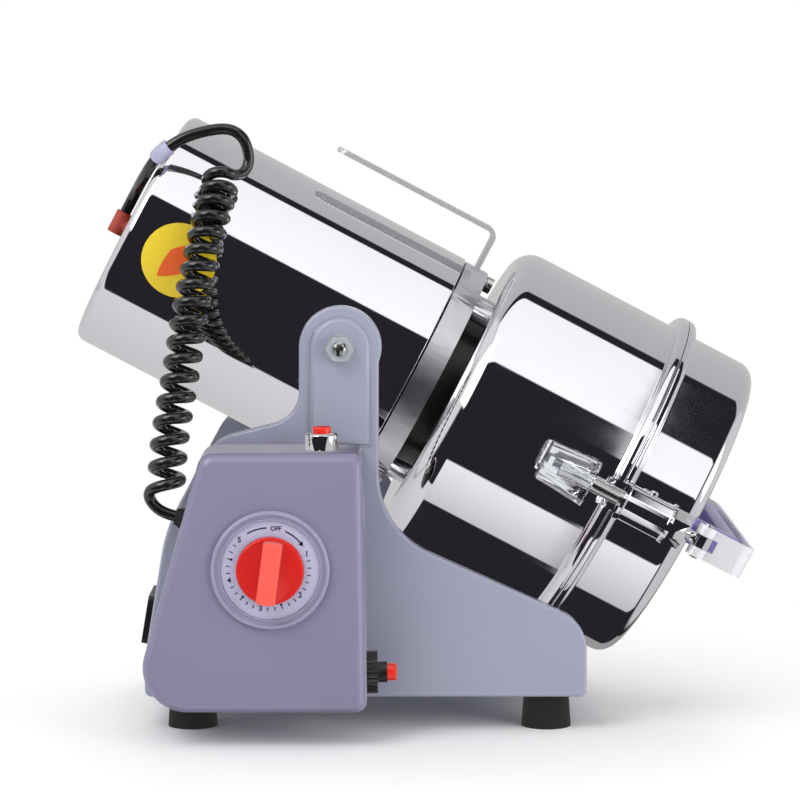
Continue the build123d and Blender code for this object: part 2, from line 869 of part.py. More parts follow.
with BuildPart() as end_bell:
    with BuildSketch(lengthwise):
        with BuildLine():
            Polyline(*bell_points, close=True)
        make_face()
    revolve(axis=body_axis)
    with BuildSketch(across(ring_start)):
        Circle(ring_radius)
        Circle(ring_inner, mode=Mode.SUBTRACT)
    extrude(amount=ring_thickness)
    with BuildSketch(across(motor_front)):
        with Locations(*post_grid):
            Circle(post_radius)
    extrude(amount=bowl_bottom - motor_front)
    with BuildSketch(across(handle_middle - handle_thickness / 2 - seat_clearance)):
        with Locations((handle_foot - seat_clearance + ring_radius / 2, 0)):
            Rectangle(ring_radius, handle_width + 2 * seat_clearance)
    extrude(amount=handle_thickness + 2 * seat_clearance, mode=Mode.SUBTRACT)
    with BuildSketch(across(ring_start, ring_radius - handle_bolt_depth)):
        Circle(handle_bolt_radius + seat_clearance)
    extrude(amount=ring_thickness, mode=Mode.SUBTRACT)
    with BuildSketch(across(bowl_bottom - screw_length)):
        with Locations(*post_grid):
            Circle(screw_radius + seat_clearance)
    extrude(amount=screw_length, mode=Mode.SUBTRACT)

with BuildPart() as dust_sleeve:
    with BuildSketch(across(motor_front)):
        Circle(sleeve_radius)
        Circle(sleeve_radius - sleeve_wall, mode=Mode.SUBTRACT)
    extrude(amount=bowl_bottom - motor_front)

# Tilt handle: a flat bar bent into an L, its foot bolted into the ring
handle_points = [
    (handle_foot, handle_middle + handle_thickness / 2),
    (handle_radius, handle_middle + handle_thickness / 2),
    (handle_radius, handle_middle - handle_length),
    (handle_radius - handle_thickness, handle_middle - handle_length),
    (handle_radius - handle_thickness, handle_middle - handle_thickness / 2),
    (handle_foot, handle_middle - handle_thickness / 2),
]
handle_rounds = [0, handle_bend, 0, 0, handle_bend - handle_thickness, 0]

with BuildPart() as tilt_handle:
    with BuildSketch(lengthwise):
        with BuildLine():
            FilletPolyline(*handle_points, radius=handle_rounds, close=True)
        make_face()
    extrude(amount=handle_width / 2, both=True)
    handle_tip = tilt_handle.faces().sort_by(body_axis)[0]
    fillet(handle_tip.edges().filter_by(Axis(pivot, lift_dir)), handle_width / 2 - handle_thickness)
    with BuildSketch(across(handle_middle - handle_thickness, ring_radius - handle_bolt_depth)):
        Circle(handle_bolt_radius + seat_clearance)
    extrude(amount=2 * handle_thickness, mode=Mode.SUBTRACT)

with BuildPart() as handle_bolt:
    with BuildSketch(across(ring_start, ring_radius - handle_bolt_depth)):
        Circle(handle_bolt_radius)
    extrude(amount=ring_thickness)
    with BuildSketch(across(ring_end, ring_radius - handle_bolt_depth)):
        Circle(handle_bolt_head_radius)
        RegularPolygon(handle_bolt_radius, 6, mode=Mode.SUBTRACT)
    extrude(amount=handle_bolt_head_height)
    with BuildSketch(across(ring_end, ring_radius - handle_bolt_depth)):
        Circle(handle_bolt_radius)
    extrude(amount=handle_bolt_head_height / 2)

# Grinding bowl
bowl_points = [
    (upper_shaft_radius + body_clearance, bowl_bottom),
    (bowl_radius, bowl_bottom),
    (bowl_radius, bowl_rim - flange_thickness),
    (flange_radius, bowl_rim - flange_thickness),
    (flange_radius, bowl_rim),
    (bowl_radius - bowl_wall, bowl_rim),
    (bowl_radius - bowl_wall, bowl_bottom + bowl_wall),
    (upper_shaft_radius + body_clearance, bowl_bottom + bowl_wall),
]
bowl_rounds = [0, bowl_corner, 0, flange_edge, 0, 0, bowl_corner - bowl_wall, 0]

with BuildPart() as bowl:
    with BuildSketch(lengthwise):
        with BuildLine():
            FilletPolyline(*bowl_points, radius=bowl_rounds, close=True)
        make_face()
    revolve(axis=body_axis)
    with BuildSketch(across(bowl_bottom)):
        with Locations(*post_grid):
            Circle(screw_radius + seat_clearance)
    extrude(amount=bowl_wall, mode=Mode.SUBTRACT)

with BuildPart() as bowl_screws:
    with BuildSketch(across(bowl_bottom - screw_length)):
        with Locations(*post_grid):
            Circle(screw_radius)
    extrude(amount=screw_length + bowl_wall)
    with BuildSketch(across(bowl_bottom + bowl_wall)):
        with Locations(*post_grid):
            Circle(screw_head_radius)
    extrude(amount=screw_head_height)

with BuildPart() as shaft_seal:
    with BuildSketch(across(bowl_bottom - seal_thickness)):
        Circle(seal_radius)
        Circle(upper_shaft_radius + body_clearance, mode=Mode.SUBTRACT)
    extrude(amount=seal_thickness)

# Rotor: stepped shaft, armature, commutator and fan
blades_start = bowl_bottom + bowl_wall + first_spacer
blade_pitch = blade_thickness + between_spacer
nut_seat = blades_start + 2 * blade_pitch + blade_thickness
shaft_end = nut_seat + blade_nut_height + shaft_end_past_nut
shaft_points = [
    (0, rear_bearing_start + body_clearance),
    (rear_bearing_bore, rear_bearing_start + body_clearance),
    (rear_bearing_bore, boss_end + body_clearance),
    (shaft_radius, boss_end + body_clearance),
    (shaft_radius, front_bearing_start - body_clearance),
    (front_bearing_bore, front_bearing_start - body_clearance),
    (front_bearing_bore, bearing_end + body_clearance),
    (upper_shaft_radius, bearing_end + body_clearance),
    (upper_shaft_radius, blades_start - first_spacer + body_clearance),
    (thread_radius, blades_start - first_spacer + body_clearance),
    (thread_radius, shaft_end),
    (0, shaft_end),
]

with BuildPart() as motor_shaft:
    with BuildSketch(lengthwise):
        with BuildLine():
            Polyline(*shaft_points, close=True)
        make_face()
    revolve(axis=body_axis)

with BuildPart() as armature_core:
    with BuildSketch(across(-stator_rear)):
        Circle(armature_radius)
        Circle(shaft_radius, mode=Mode.SUBTRACT)
    extrude(amount=stator_rear - stator_front)

with BuildPart() as armature_windings:
    for winding_start in (-stator_rear - winding_length, -stator_front):
        with BuildSketch(across(winding_start)):
            Circle(winding_outer)
            Circle(shaft_radius, mode=Mode.SUBTRACT)
        extrude(amount=winding_length)

with BuildPart() as commutator:
    with BuildSketch(across(-commutator_rear)):
        Circle(commutator_radius)
        Circle(shaft_radius, mode=Mode.SUBTRACT)
    extrude(amount=commutator_length)

with BuildPart() as cooling_fan:
    with BuildSketch(across(fan_rear)):
        Circle(fan_hub_radius)
    extrude(amount=fan_height)
    with BuildSketch(across(fan_rear)):
        Circle(fan_radius)
    extrude(amount=fan_disc)
    with BuildSketch(across(fan_rear)):
        with PolarLocations((fan_radius + fan_blade_root) / 2, fan_blade_count):
            Rectangle(fan_radius - fan_blade_root, fan_blade_thickness)
    extrude(amount=fan_height)
    with BuildSketch(across(fan_rear)):
        Circle(shaft_radius)
    extrude(amount=fan_height, mode=Mode.SUBTRACT)


def blade_profile(reach, rise):
    """Points of a blade seen edge on: a flat bar whose two tips are bent towards the lid."""
    bend = reach - blade_tip
    return [
        (-reach, rise),
        (-bend, 0),
        (bend, 0),
        (reach, rise),
        (reach, rise + blade_thickness),
        (bend, blade_thickness),
        (-bend, blade_thickness),
        (-reach, rise + blade_thickness),
    ]


def blade_plan(reach):
    """Points of a blade seen along the shaft: a bar whose leading edges are ground back to the tips."""
    half = blade_width / 2
    nose = half * blade_nose_share
    bend = reach - blade_tip
    return [
        (-reach, -half),
        (bend - blade_bevel, -half),
        (reach, -nose),
        (reach, half),
        (blade_bevel - bend, half),
        (-reach, nose),
    ]


def blade_parts(reach, rise, start, turn_deg):
    """One bent blade with its shaft hole, turned about the shaft."""
    turn = math.radians(turn_deg)
    reach_dir = lift_dir * math.cos(turn) + front_dir * math.sin(turn)
    seat = Plane(origin=across(start).origin, x_dir=reach_dir, z_dir=axis_dir)
    edge_on = Plane(origin=seat.origin, x_dir=seat.x_dir, z_dir=-seat.y_dir)
    with BuildPart() as blade:
        with BuildSketch(edge_on):
            with BuildLine():
                Polyline(*blade_profile(reach, rise), close=True)
            make_face()
        extrude(amount=blade_width / 2, both=True)
        with BuildSketch(seat):
            with BuildLine():
                Polyline(*blade_plan(reach), close=True)
            make_face()
        extrude(amount=rise + blade_thickness, mode=Mode.INTERSECT)
        with BuildSketch(seat):
            Circle(thread_radius + running_clearance)
        extrude(amount=blade_thickness, mode=Mode.SUBTRACT)
    return blade


middle_seat = blades_start + blade_pitch
upper_seat = middle_seat + blade_pitch
lower_blade = blade_parts(lower_blade_reach, lower_tip_rise, blades_start, lower_blade_deg)
middle_blade = blade_parts(middle_blade_reach, middle_tip_rise, middle_seat, middle_blade_deg)
upper_blade = blade_parts(upper_blade_reach, upper_tip_rise, upper_seat, upper_blade_deg)

with BuildPart() as blade_spacers:
    with BuildSketch(across(blades_start - first_spacer + body_clearance)):
        Circle(blade_hub_radius)
        Circle(thread_radius + running_clearance, mode=Mode.SUBTRACT)
    extrude(amount=first_spacer - body_clearance)
    for spacer_start in (blades_start + blade_thickness, blades_start + blade_pitch + blade_thickness):
        with BuildSketch(across(spacer_start)):
            Circle(blade_hub_radius)
            Circle(thread_radius + running_clearance, mode=Mode.SUBTRACT)
        extrude(amount=between_spacer)

with BuildPart() as blade_nut:
    with BuildSketch(across(nut_seat)):
        RegularPolygon(blade_nut_flats / 2, 6, major_radius=False)
        Circle(thread_radius + running_clearance, mode=Mode.SUBTRACT)
    extrude(amount=blade_nut_height)

# Lid with its gasket in a groove
lid_points = [
    (bowl_radius - lid_wall, lid_seat),
    (flange_radius, lid_seat),
    (flange_radius, lid_seat + lid_flange_thickness),
    (bowl_radius, lid_seat + lid_flange_thickness),
    (bowl_radius, lid_end),
    (0, lid_end),
    (0, lid_end - lid_wall),
    (bowl_radius - lid_wall, lid_end - lid_wall),
]
lid_rounds = [0, 0, flange_edge, 0, lid_corner, 0, 0, lid_corner - lid_wall]

with BuildPart() as lid:
    with BuildSketch(lengthwise):
        with BuildLine():
            FilletPolyline(*lid_points, radius=lid_rounds, close=True)
        make_face()
    revolve(axis=body_axis)
    with BuildSketch(across(lid_seat)):
        Circle(gasket_outer)
        Circle(bowl_radius, mode=Mode.SUBTRACT)
    extrude(amount=gasket_thickness, mode=Mode.SUBTRACT)

with BuildPart() as lid_gasket:
    with BuildSketch(across(lid_seat)):
        Circle(gasket_outer)
        Circle(bowl_radius, mode=Mode.SUBTRACT)
    extrude(amount=gasket_thickness)

# Lid clamp: barrel on the bowl's rim, screwed rod, eye and pin
bracket_start = bowl_rim - flange_thickness - bracket_thickness
barrel_start = bowl_rim + barrel_past_rim
barrel_end = barrel_start + barrel_length
hexagon_start = barrel_end + body_clearance
hexagon_end = hexagon_start + hexagon_length
pin_along = hexagon_end + pin_past_hexagon



def screw_plane(out):
    """Plane on the barrel's upper side, where the small screw enters."""
    lift = barrel_radius - barrel_collar_step + out
    spot = across(barrel_start + barrel_length / 2, lift, clamp_reach).origin
    return Plane(origin=spot, x_dir=axis_dir, z_dir=lift_dir)


with BuildPart() as clamp_barrel:
    with BuildSketch(across(barrel_start, 0, clamp_reach)):
        Circle(barrel_radius)
    extrude(amount=barrel_length)
    with BuildSketch(across(barrel_start + barrel_collar, 0, clamp_reach)):
        Circle(barrel_radius)
        Circle(barrel_radius - barrel_collar_step, mode=Mode.SUBTRACT)
    extrude(amount=barrel_length - 2 * barrel_collar, mode=Mode.SUBTRACT)
    with BuildSketch(across(bracket_start)):
        with Locations((0, flange_radius)):
            Rectangle(bracket_width, 2 * bracket_reach)
    extrude(amount=barrel_start + barrel_length / 2 - bracket_start)
    with BuildSketch(across(bracket_start)):
        with Locations((0, bowl_radius)):
            Rectangle(bracket_width, 2 * (flange_radius - bowl_radius))
        Circle(bowl_radius, mode=Mode.SUBTRACT)
    extrude(amount=bracket_thickness)
    with BuildSketch(across(bracket_start + bracket_thickness)):
        Circle(flange_radius + body_clearance)
    extrude(amount=barrel_end - bracket_start, mode=Mode.SUBTRACT)
    with BuildSketch(screw_plane(-barrel_screw_depth)):
        Circle(screw_radius + seat_clearance)
    extrude(amount=2 * barrel_screw_depth, mode=Mode.SUBTRACT)
    with BuildSketch(across(barrel_start, 0, clamp_reach)):
        Circle(rod_radius + running_clearance)
    extrude(amount=barrel_length, mode=Mode.SUBTRACT)

with BuildPart() as barrel_screw:
    with BuildSketch(screw_plane(-barrel_screw_depth)):
        Circle(screw_radius)
    extrude(amount=barrel_screw_depth + barrel_screw_proud)
    fillet(barrel_screw.edges().group_by(Axis(pivot, lift_dir))[-1], barrel_screw_proud / 2)

knob_end = barrel_start - rod_bare_length
knob_tip = knob_end - clamp_knob_length
with BuildPart() as clamp_rod:
    with BuildSketch(across(knob_end - knob_bore_depth, 0, clamp_reach)):
        Circle(rod_radius)
    extrude(amount=hexagon_end - hexagon_floor - knob_end + knob_bore_depth - body_clearance)

with BuildPart() as clamp_knob:
    with BuildSketch(across(knob_tip, 0, clamp_reach)):
        RectangleRounded(clamp_knob_tip, clamp_knob_tip, clamp_knob_round)
    with BuildSketch(across(knob_end, 0, clamp_reach)):
        RectangleRounded(clamp_knob_root, clamp_knob_root, clamp_knob_round)
    loft()
    with BuildSketch(across(knob_end, 0, clamp_reach)):
        Circle(rod_radius + seat_clearance)
    extrude(amount=-knob_bore_depth, mode=Mode.SUBTRACT)

eye_spot = across(pin_along, 0, clamp_reach).origin
pin_plane = Plane(origin=eye_spot, x_dir=axis_dir, z_dir=lift_dir)
with BuildPart() as hinge_eye:
    with BuildSketch(across(hexagon_start, 0, clamp_reach)):
        RegularPolygon(hexagon_across_flats / 2, 6, major_radius=False)
    extrude(amount=hexagon_length)
    with BuildSketch(across(hexagon_end, 0, clamp_reach)):
        Circle(eye_neck_radius)
    extrude(amount=pin_past_hexagon)
    with BuildSketch(pin_plane.offset(-eye_width / 2)):
        Circle(eye_radius)
    extrude(amount=eye_width)
    with BuildSketch(pin_plane.offset(-eye_width)):
        Circle(pin_radius + running_clearance)
    extrude(amount=2 * eye_width, mode=Mode.SUBTRACT)
    with BuildSketch(across(hexagon_start, 0, clamp_reach)):
        Circle(rod_radius + running_clearance)
    extrude(amount=hexagon_length - hexagon_floor, mode=Mode.SUBTRACT)

with BuildPart() as hinge_pin:
    with BuildSketch(pin_plane.offset(-strap_width / 2 - pin_past_knuckle)):
        Circle(pin_radius)
    extrude(amount=strap_width + 2 * pin_past_knuckle)

# Strap: a flat band from the knuckles over the lid, on two posts
strap_top = pin_along + strap_rise
strap_outer = clamp_reach + strap_thickness / 2
strap_points = [
    (strap_outer, pin_along),
    (strap_outer, strap_top),
    (-strap_far_reach, strap_top),
    (-strap_far_reach, lid_seat + lid_flange_thickness),
    (strap_thickness - strap_far_reach, lid_seat + lid_flange_thickness),
    (strap_thickness - strap_far_reach, strap_top - strap_thickness),
    (strap_outer - strap_thickness, strap_top - strap_thickness),
    (strap_outer - strap_thickness, pin_along),
]
strap_inner_bend = strap_bend - strap_thickness
strap_rounds = [0, strap_bend, strap_bend, 0, 0, strap_inner_bend, strap_inner_bend, 0]
strap_side = Plane(origin=pivot, x_dir=front_dir, z_dir=lift_dir)

with BuildPart() as lid_strap:
    with BuildSketch(strap_side):
        with BuildLine():
            FilletPolyline(*strap_points, radius=strap_rounds, close=True)
        make_face()
    extrude(amount=strap_width / 2, both=True)
    with BuildSketch(pin_plane.offset(-strap_width / 2)):
        Circle(knuckle_radius)
    extrude(amount=strap_width)
    with BuildSketch(pin_plane.offset(-eye_width / 2 - body_clearance)):
        with Locations((window_length / 2 - eye_radius, 0)):
            Rectangle(window_length + eye_radius, 2 * (eye_radius + body_clearance))
    extrude(amount=eye_width + 2 * body_clearance, mode=Mode.SUBTRACT)
    with BuildSketch(pin_plane.offset(-strap_width)):
        Circle(pin_radius + seat_clearance)
    extrude(amount=2 * strap_width, mode=Mode.SUBTRACT)

# Grip: a bow of moulded plastic under the strap, standing on the lid
grip_top = strap_top - strap_thickness
grip_points = [
    (grip_reach, lid_end),
    (grip_reach, grip_top),
    (-grip_reach, grip_top),
    (-grip_reach, lid_end),
    (grip_leg - grip_reach, lid_end),
    (grip_leg - grip_reach, grip_top - grip_thickness),
    (grip_reach - grip_leg, grip_top - grip_thickness),
    (grip_reach - grip_leg, lid_end),
]
grip_rounds = [0, grip_bend, grip_bend, 0, 0, grip_bend, grip_bend, 0]

with BuildPart() as lid_handle:
    with BuildSketch(strap_side):
        with BuildLine():
            FilletPolyline(*grip_points, radius=grip_rounds, close=True)
        make_face()
    extrude(amount=grip_width / 2, both=True)
    for side_face in lid_handle.faces().filter_by(strap_side):
        fillet(side_face.edges().sort_by(body_axis)[2:], grip_edge)

# Curly cord: a helix of quarter-turn biarcs about a hanging line
def hung(x, front, z):
    """A cord's point from its place right of, in front of and above the pivot."""
    return pivot + Vector(x, -front, z)


with BuildLine() as coil_line:
    Spline(*[hung(*spot) for spot in coil_route])
coil_edge = coil_line.edges()[0]
turns_total = curl_count + curl_end_share


def curl_point(turn):
    """Point of the helix after this many turns from the top; the curls loosen downwards."""
    share = turn / turns_total
    share = share * (1 - curl_loosen_share) + curl_loosen_share * share * share
    along = coil_edge % share
    out = (front_dir - along * front_dir.dot(along)).normalized()
    side = along.cross(out)
    angle = 2 * math.pi * turn + math.radians(curl_start_deg)
    return coil_edge @ share + out * (curl_radius * math.cos(angle)) + side * (curl_radius * math.sin(angle))


def curl_tangent(turn, step_share=0.001):
    """Direction of the helix after this many turns."""
    first = max(turn - step_share, 0.0)
    last = min(turn + step_share, turns_total)
    return (curl_point(last) - curl_point(first)).normalized()


def biarc(start, start_dir, end, end_dir):
    """Two tangent arcs between two points with directions: the joint and its direction."""
    span = end - start
    lean = start_dir + end_dir
    quad = 2 * (1 - start_dir.dot(end_dir))
    half = span.dot(lean)
    reach = (-half + math.sqrt(half * half + quad * span.dot(span))) / quad
    joint = (start + end) / 2 + (start_dir - end_dir) * (reach / 2)
    first_end = start + start_dir * reach
    return joint, (joint - first_end).normalized()


bushing_mouth = bushing_spot + box_left_out * bushing_proud
coil_end = bushing_mouth + box_left_out * cord_diameter
top_spot = hung(*coil_top)
top_dir = Vector(0, 0, -1)
curl_steps = 4
curl_places = [(top_spot, top_dir)]
for step in range(int(turns_total * curl_steps) + 1):
    curl_places.append((curl_point(step / curl_steps), curl_tangent(step / curl_steps)))
curl_places.append((coil_end, -box_left_out))

with BuildLine() as curly_path:
    Line(top_spot - top_dir * cord_diameter, top_spot)
    for (start, start_dir), (end, end_dir) in zip(curl_places, curl_places[1:]):
        joint, joint_dir = biarc(start, start_dir, end, end_dir)
        TangentArc(start, joint, tangent=start_dir)
        TangentArc(joint, end, tangent=joint_dir)
    Line(coil_end, bushing_mouth)

with BuildPart() as curly_cord:
    with BuildSketch(Plane(origin=top_spot - top_dir * cord_diameter, z_dir=top_dir)):
        Circle(cord_diameter / 2)
    sweep(path=curly_path.wires()[0])

# Loop of plain cord from the coil over to the motor's end
grommet_along = -motor_rear - grommet_base_thickness - grommet_radius
grommet_plane = Plane(
    origin=across(grommet_along, 0, grommet_front).origin, x_dir=front_dir, z_dir=lift_dir
)
grommet_mouth = grommet_plane.offset(grommet_length / 2).origin
loop_points = [top_spot - top_dir * cord_diameter]
loop_points += [hung(*spot) for spot in loop_route]
loop_points += [grommet_mouth + lift_dir * loop_last_run, grommet_mouth]


def run_radii(points):
    """Radius at each inner point: 0.45 of the shorter run over the tangent of half the turn."""
    run_share = 0.45
    radii = []
    for before, here, after in zip(points, points[1:], points[2:]):
        turn = math.radians((here - before).get_angle(after - here))
        shorter = min((here - before).length, (after - here).length)
        radii.append(run_share * shorter / math.tan(turn / 2))
    return radii


loop_radii = run_radii(loop_points)
with BuildLine() as loop_path:
    FilletPolyline(*loop_points, radius=loop_radii)
loop_wire = loop_path.wires()[0]

with BuildPart() as cord_loop:
    with BuildSketch(Plane(origin=loop_points[0], z_dir=-top_dir)):
        Circle(cord_diameter / 2)
    sweep(path=loop_wire)

# Lilac wrap round the loop, rubber boot at the motor's end, bushing on the box
wrap_middle = loop_wire @ wrap_place_share
wrap_dir = loop_wire % wrap_place_share
with BuildPart() as cord_wrap:
    with BuildSketch(Plane(origin=wrap_middle - wrap_dir * (wrap_length / 2), z_dir=wrap_dir)):
        Circle(cord_diameter / 2 + wrap_wall)
        Circle(cord_diameter / 2 + wrap_clearance, mode=Mode.SUBTRACT)
    extrude(amount=wrap_length)

with BuildPart() as cord_grommet:
    with BuildSketch(grommet_plane.offset(-grommet_length / 2)):
        Circle(grommet_radius)
    extrude(amount=grommet_length)
    with BuildSketch(across(cover_start - grommet_base_thickness, 0, grommet_front)):
        Circle(grommet_base_radius)
    extrude(amount=grommet_base_thickness)
    with BuildSketch(across(grommet_along, 0, grommet_front)):
        Circle(grommet_radius)
    extrude(amount=cover_start - grommet_along)

with BuildPart() as cord_bushing:
    with BuildSketch(left_side(0)):
        Circle(bushing_radius)
    with BuildSketch(left_side(bushing_proud)):
        Circle(bushing_tip_radius)
    loft()
    with BuildSketch(left_side(0)):
        Circle(bushing_tip_radius - seat_clearance)
    extrude(amount=-box_wall)
    with BuildSketch(left_side(-box_wall)):
        Circle(bushing_flange)
    extrude(amount=-box_wall)

# Cord checks: curls' gaps on points, the loop's radii and the tubes' volumes
gap_steps = 24
gap_points = [curl_point(step / gap_steps) for step in range(int(turns_total * gap_steps) + 1)]
least_gap = min(
    (gap_points[i] - gap_points[j]).length
    for i in range(len(gap_points))
    for j in range(i + gap_steps // 2, min(len(gap_points), i + 2 * gap_steps))
)
cord_section = math.pi * cord_diameter * cord_diameter / 4
print("curls", turns_total, "least gap between curls", round(least_gap - cord_diameter, 2))
print("loop radii", [round(radius, 1) for radius in loop_radii])
for cord, wire in ((curly_cord, curly_path.wires()[0]), (cord_loop, loop_wire)):
    volume_share = cord.part.volume / wire.length / cord_section
    print("cord length", round(wire.length, 1), "volume share", round(volume_share, 3))

finish(front_cheek, "front_cheek")
finish(rear_cheek, "rear_cheek")
finish(base_plate_drilled, "base_plate")
finish(end_plate, "end_plate")
finish(feet, "feet")
finish(foot_screws, "foot_screws")
finish(power_inlet, "power_inlet")
finish(pivot_bolts, "pivot_bolts")
finish(pivot_washers, "pivot_washers")
finish(pivot_nuts, "pivot_nuts")
finish(trunnions, "trunnions")
finish(control_box, "control_box")
finish(timer_bezel, "timer_bezel")
finish(timer_dial, "timer_dial")
finish(timer_body, "timer_body")
finish(timer_knob, "timer_knob")
finish(button_bezel, "button_bezel")
finish(power_button, "power_button")
finish(overload_body, "overload_body")
finish(overload_nut, "overload_nut")
finish(reset_button, "reset_button")
finish(motor_housing, "motor_housing")
finish(end_cover, "end_cover")
finish(bearings, "bearings")
finish(stator_core, "stator_core")
finish(field_coils, "field_coils")
finish(carbon_brushes, "carbon_brushes")
finish(brush_holders, "brush_holders")
finish(end_bell, "end_bell")
finish(dust_sleeve, "dust_sleeve")
finish(tilt_handle, "tilt_handle")
finish(handle_bolt, "handle_bolt")
finish(bowl, "bowl")
finish(bowl_screws, "bowl_screws")
finish(shaft_seal, "shaft_seal")
finish(motor_shaft, "motor_shaft")
finish(armature_core, "armature_core")
finish(armature_windings, "armature_windings")
finish(commutator, "commutator")
finish(cooling_fan, "cooling_fan")
finish(lower_blade, "lower_blade")
finish(middle_blade, "middle_blade")
finish(upper_blade, "upper_blade")
finish(blade_spacers, "blade_spacers")
finish(blade_nut, "blade_nut")
finish(lid, "lid")
finish(lid_gasket, "lid_gasket")
finish(clamp_barrel, "clamp_barrel")
finish(barrel_screw, "barrel_screw")
finish(clamp_rod, "clamp_rod")
finish(clamp_knob, "clamp_knob")
finish(hinge_eye, "hinge_eye")
finish(hinge_pin, "hinge_pin")
finish(lid_strap, "lid_strap")
finish(lid_handle, "lid_handle")
finish(curly_cord, "curly_cord")
finish(cord_loop, "cord_loop")
finish(cord_wrap, "cord_wrap")
finish(cord_grommet, "cord_grommet")
finish(cord_bushing, "cord_bushing")
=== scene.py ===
"""Studio look of a tilting herb grinder: its finishes, smooth shells, curly cord, prints and light."""
import json
import logging
import math
from dataclasses import dataclass
from enum import Enum
from typing import Any, Sequence

import bmesh
import bpy
import numpy as np
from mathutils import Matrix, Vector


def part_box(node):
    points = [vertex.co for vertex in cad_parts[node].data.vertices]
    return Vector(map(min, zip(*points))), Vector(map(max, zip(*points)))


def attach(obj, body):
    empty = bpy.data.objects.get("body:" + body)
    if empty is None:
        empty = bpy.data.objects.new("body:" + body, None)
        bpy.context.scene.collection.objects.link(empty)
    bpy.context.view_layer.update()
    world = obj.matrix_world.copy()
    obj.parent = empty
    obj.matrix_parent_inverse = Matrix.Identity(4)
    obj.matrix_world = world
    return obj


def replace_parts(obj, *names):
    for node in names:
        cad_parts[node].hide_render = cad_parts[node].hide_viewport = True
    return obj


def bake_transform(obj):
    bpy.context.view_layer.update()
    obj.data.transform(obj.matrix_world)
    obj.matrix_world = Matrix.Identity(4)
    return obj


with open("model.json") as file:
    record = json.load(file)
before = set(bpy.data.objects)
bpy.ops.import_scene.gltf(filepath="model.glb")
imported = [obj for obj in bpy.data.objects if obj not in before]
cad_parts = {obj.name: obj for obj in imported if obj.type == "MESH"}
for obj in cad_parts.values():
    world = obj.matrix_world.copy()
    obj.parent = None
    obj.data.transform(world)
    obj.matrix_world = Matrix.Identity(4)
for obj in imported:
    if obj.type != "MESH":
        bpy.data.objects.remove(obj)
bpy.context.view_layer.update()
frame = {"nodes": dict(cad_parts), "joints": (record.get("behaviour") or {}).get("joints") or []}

LOG = logging.getLogger("herb_grinder")
MM = 0.001
WHITE = (1.0, 1.0, 1.0, 1.0)
RIGHT = np.array([1.0, 0.0, 0.0])
# Sockets of a Mix node that is set to mix colours
MIX_FIRST, MIX_SECOND, MIX_RESULT = 6, 7, 2
# Points nearer than the first are one point, and edges shorter than the second are taken out, in metres
MERGE_M, SPECK_M = 2e-6, 1e-7
# Edges that turn by more stay sharp on a piece that names no angle of its own
SHARP_DEG = 30.0
# How far large faces pull the shading at their corners; 50 leaves it even
FACE_PULL = 80


class Ray(Enum):
    """Kinds of ray that the studio tells apart."""

    CAMERA = "Is Camera Ray"
    GLOSSY = "Is Glossy Ray"


def joint(name: str) -> dict:
    """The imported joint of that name."""
    return next(j for j in frame["joints"] if j["name"] == name)


def linear(hex_colour: str) -> tuple[float, float, float, float]:
    """Linear RGBA of an sRGB hex colour, by the sRGB standard's curve.

    Args:
        hex_colour: six hex digits with a leading #.

    Returns:
        Red, green, blue and alpha as a shader takes them.
    """
    srgb = np.array([int(hex_colour[k:k + 2], 16) for k in (1, 3, 5)]) / 255
    rgb = np.where(srgb <= 0.04045, srgb / 12.92, ((srgb + 0.055) / 1.055) ** 2.4)
    return (*rgb.tolist(), 1.0)


def per_metre(size_mm: float) -> float:
    """Texture scale at which one feature is that many millimetres wide."""
    return 1 / (size_mm * MM)


@dataclass(frozen=True)
class BodyFrame:
    """The swinging body's own directions at rest, all through the pivot."""

    pivot: np.ndarray
    along: np.ndarray
    lift: np.ndarray
    front: np.ndarray

    def place(self, along: Any, lift: Any, front: Any) -> np.ndarray:
        """Row-frame points of places given in the body's directions.

        Args:
            along: millimetres from the pivot towards the lid.
            lift: millimetres square to the axis, upwards.
            front: millimetres towards the camera's side.

        Returns:
            Points in metres, with the inputs' broadcast shape and 3.
        """
        along, lift, front = np.broadcast_arrays(along, lift, front)
        steps = along[..., None] * self.along + lift[..., None] * self.lift + front[..., None] * self.front
        return self.pivot + steps * MM

    def hung(self, spots: Sequence[Sequence[float]]) -> np.ndarray:
        """Row-frame points of places right of, in front of and above the pivot, in millimetres."""
        spots = np.asarray(spots, float)
        return self.pivot + spots * np.array([1, -1, 1]) * MM


BODY = BodyFrame(
    np.array(joint("tilt")["pos_m"], float),
    np.array(joint("rotor_spin")["axis"], float),
    np.cross([0.0, -1.0, 0.0], joint("rotor_spin")["axis"]),
    np.array([0.0, -1.0, 0.0]),
)


class Shader:
    """A node tree under construction."""

    def __init__(self, name: str, tree: bpy.types.NodeTree | None = None) -> None:
        """Start an empty tree: a new material's, or the one given.

        Args:
            name: the new material's name.
            tree: a tree to empty and use in place of a new material's.
        """
        self.material = None
        if tree is None:
            self.material = bpy.data.materials.new(name)
            self.material.use_nodes = True
            tree = self.material.node_tree
        self.tree = tree
        tree.nodes.clear()

    def add(self, kind: str, inputs: dict[Any, Any] | None = None, **settings: Any) -> bpy.types.Node:
        """Add a node with its settings and links.

        Args:
            kind: the node's type, without the leading ShaderNode.
            inputs: socket name or number to a value, or to the output socket that feeds it.
            settings: properties of the node.

        Returns:
            The new node.
        """
        node = self.tree.nodes.new("ShaderNode" + kind)
        for key, value in settings.items():
            setattr(node, key, value)
        for key, value in (inputs or {}).items():
            if isinstance(value, bpy.types.NodeSocket):
                self.tree.links.new(value, node.inputs[key])
            else:
                node.inputs[key].default_value = value
        return node

    def close(self, surface: bpy.types.NodeSocket) -> bpy.types.Material | None:
        """Link the surface to the output and return the material."""
        self.add("OutputMaterial", {"Surface": surface})
        return self.material


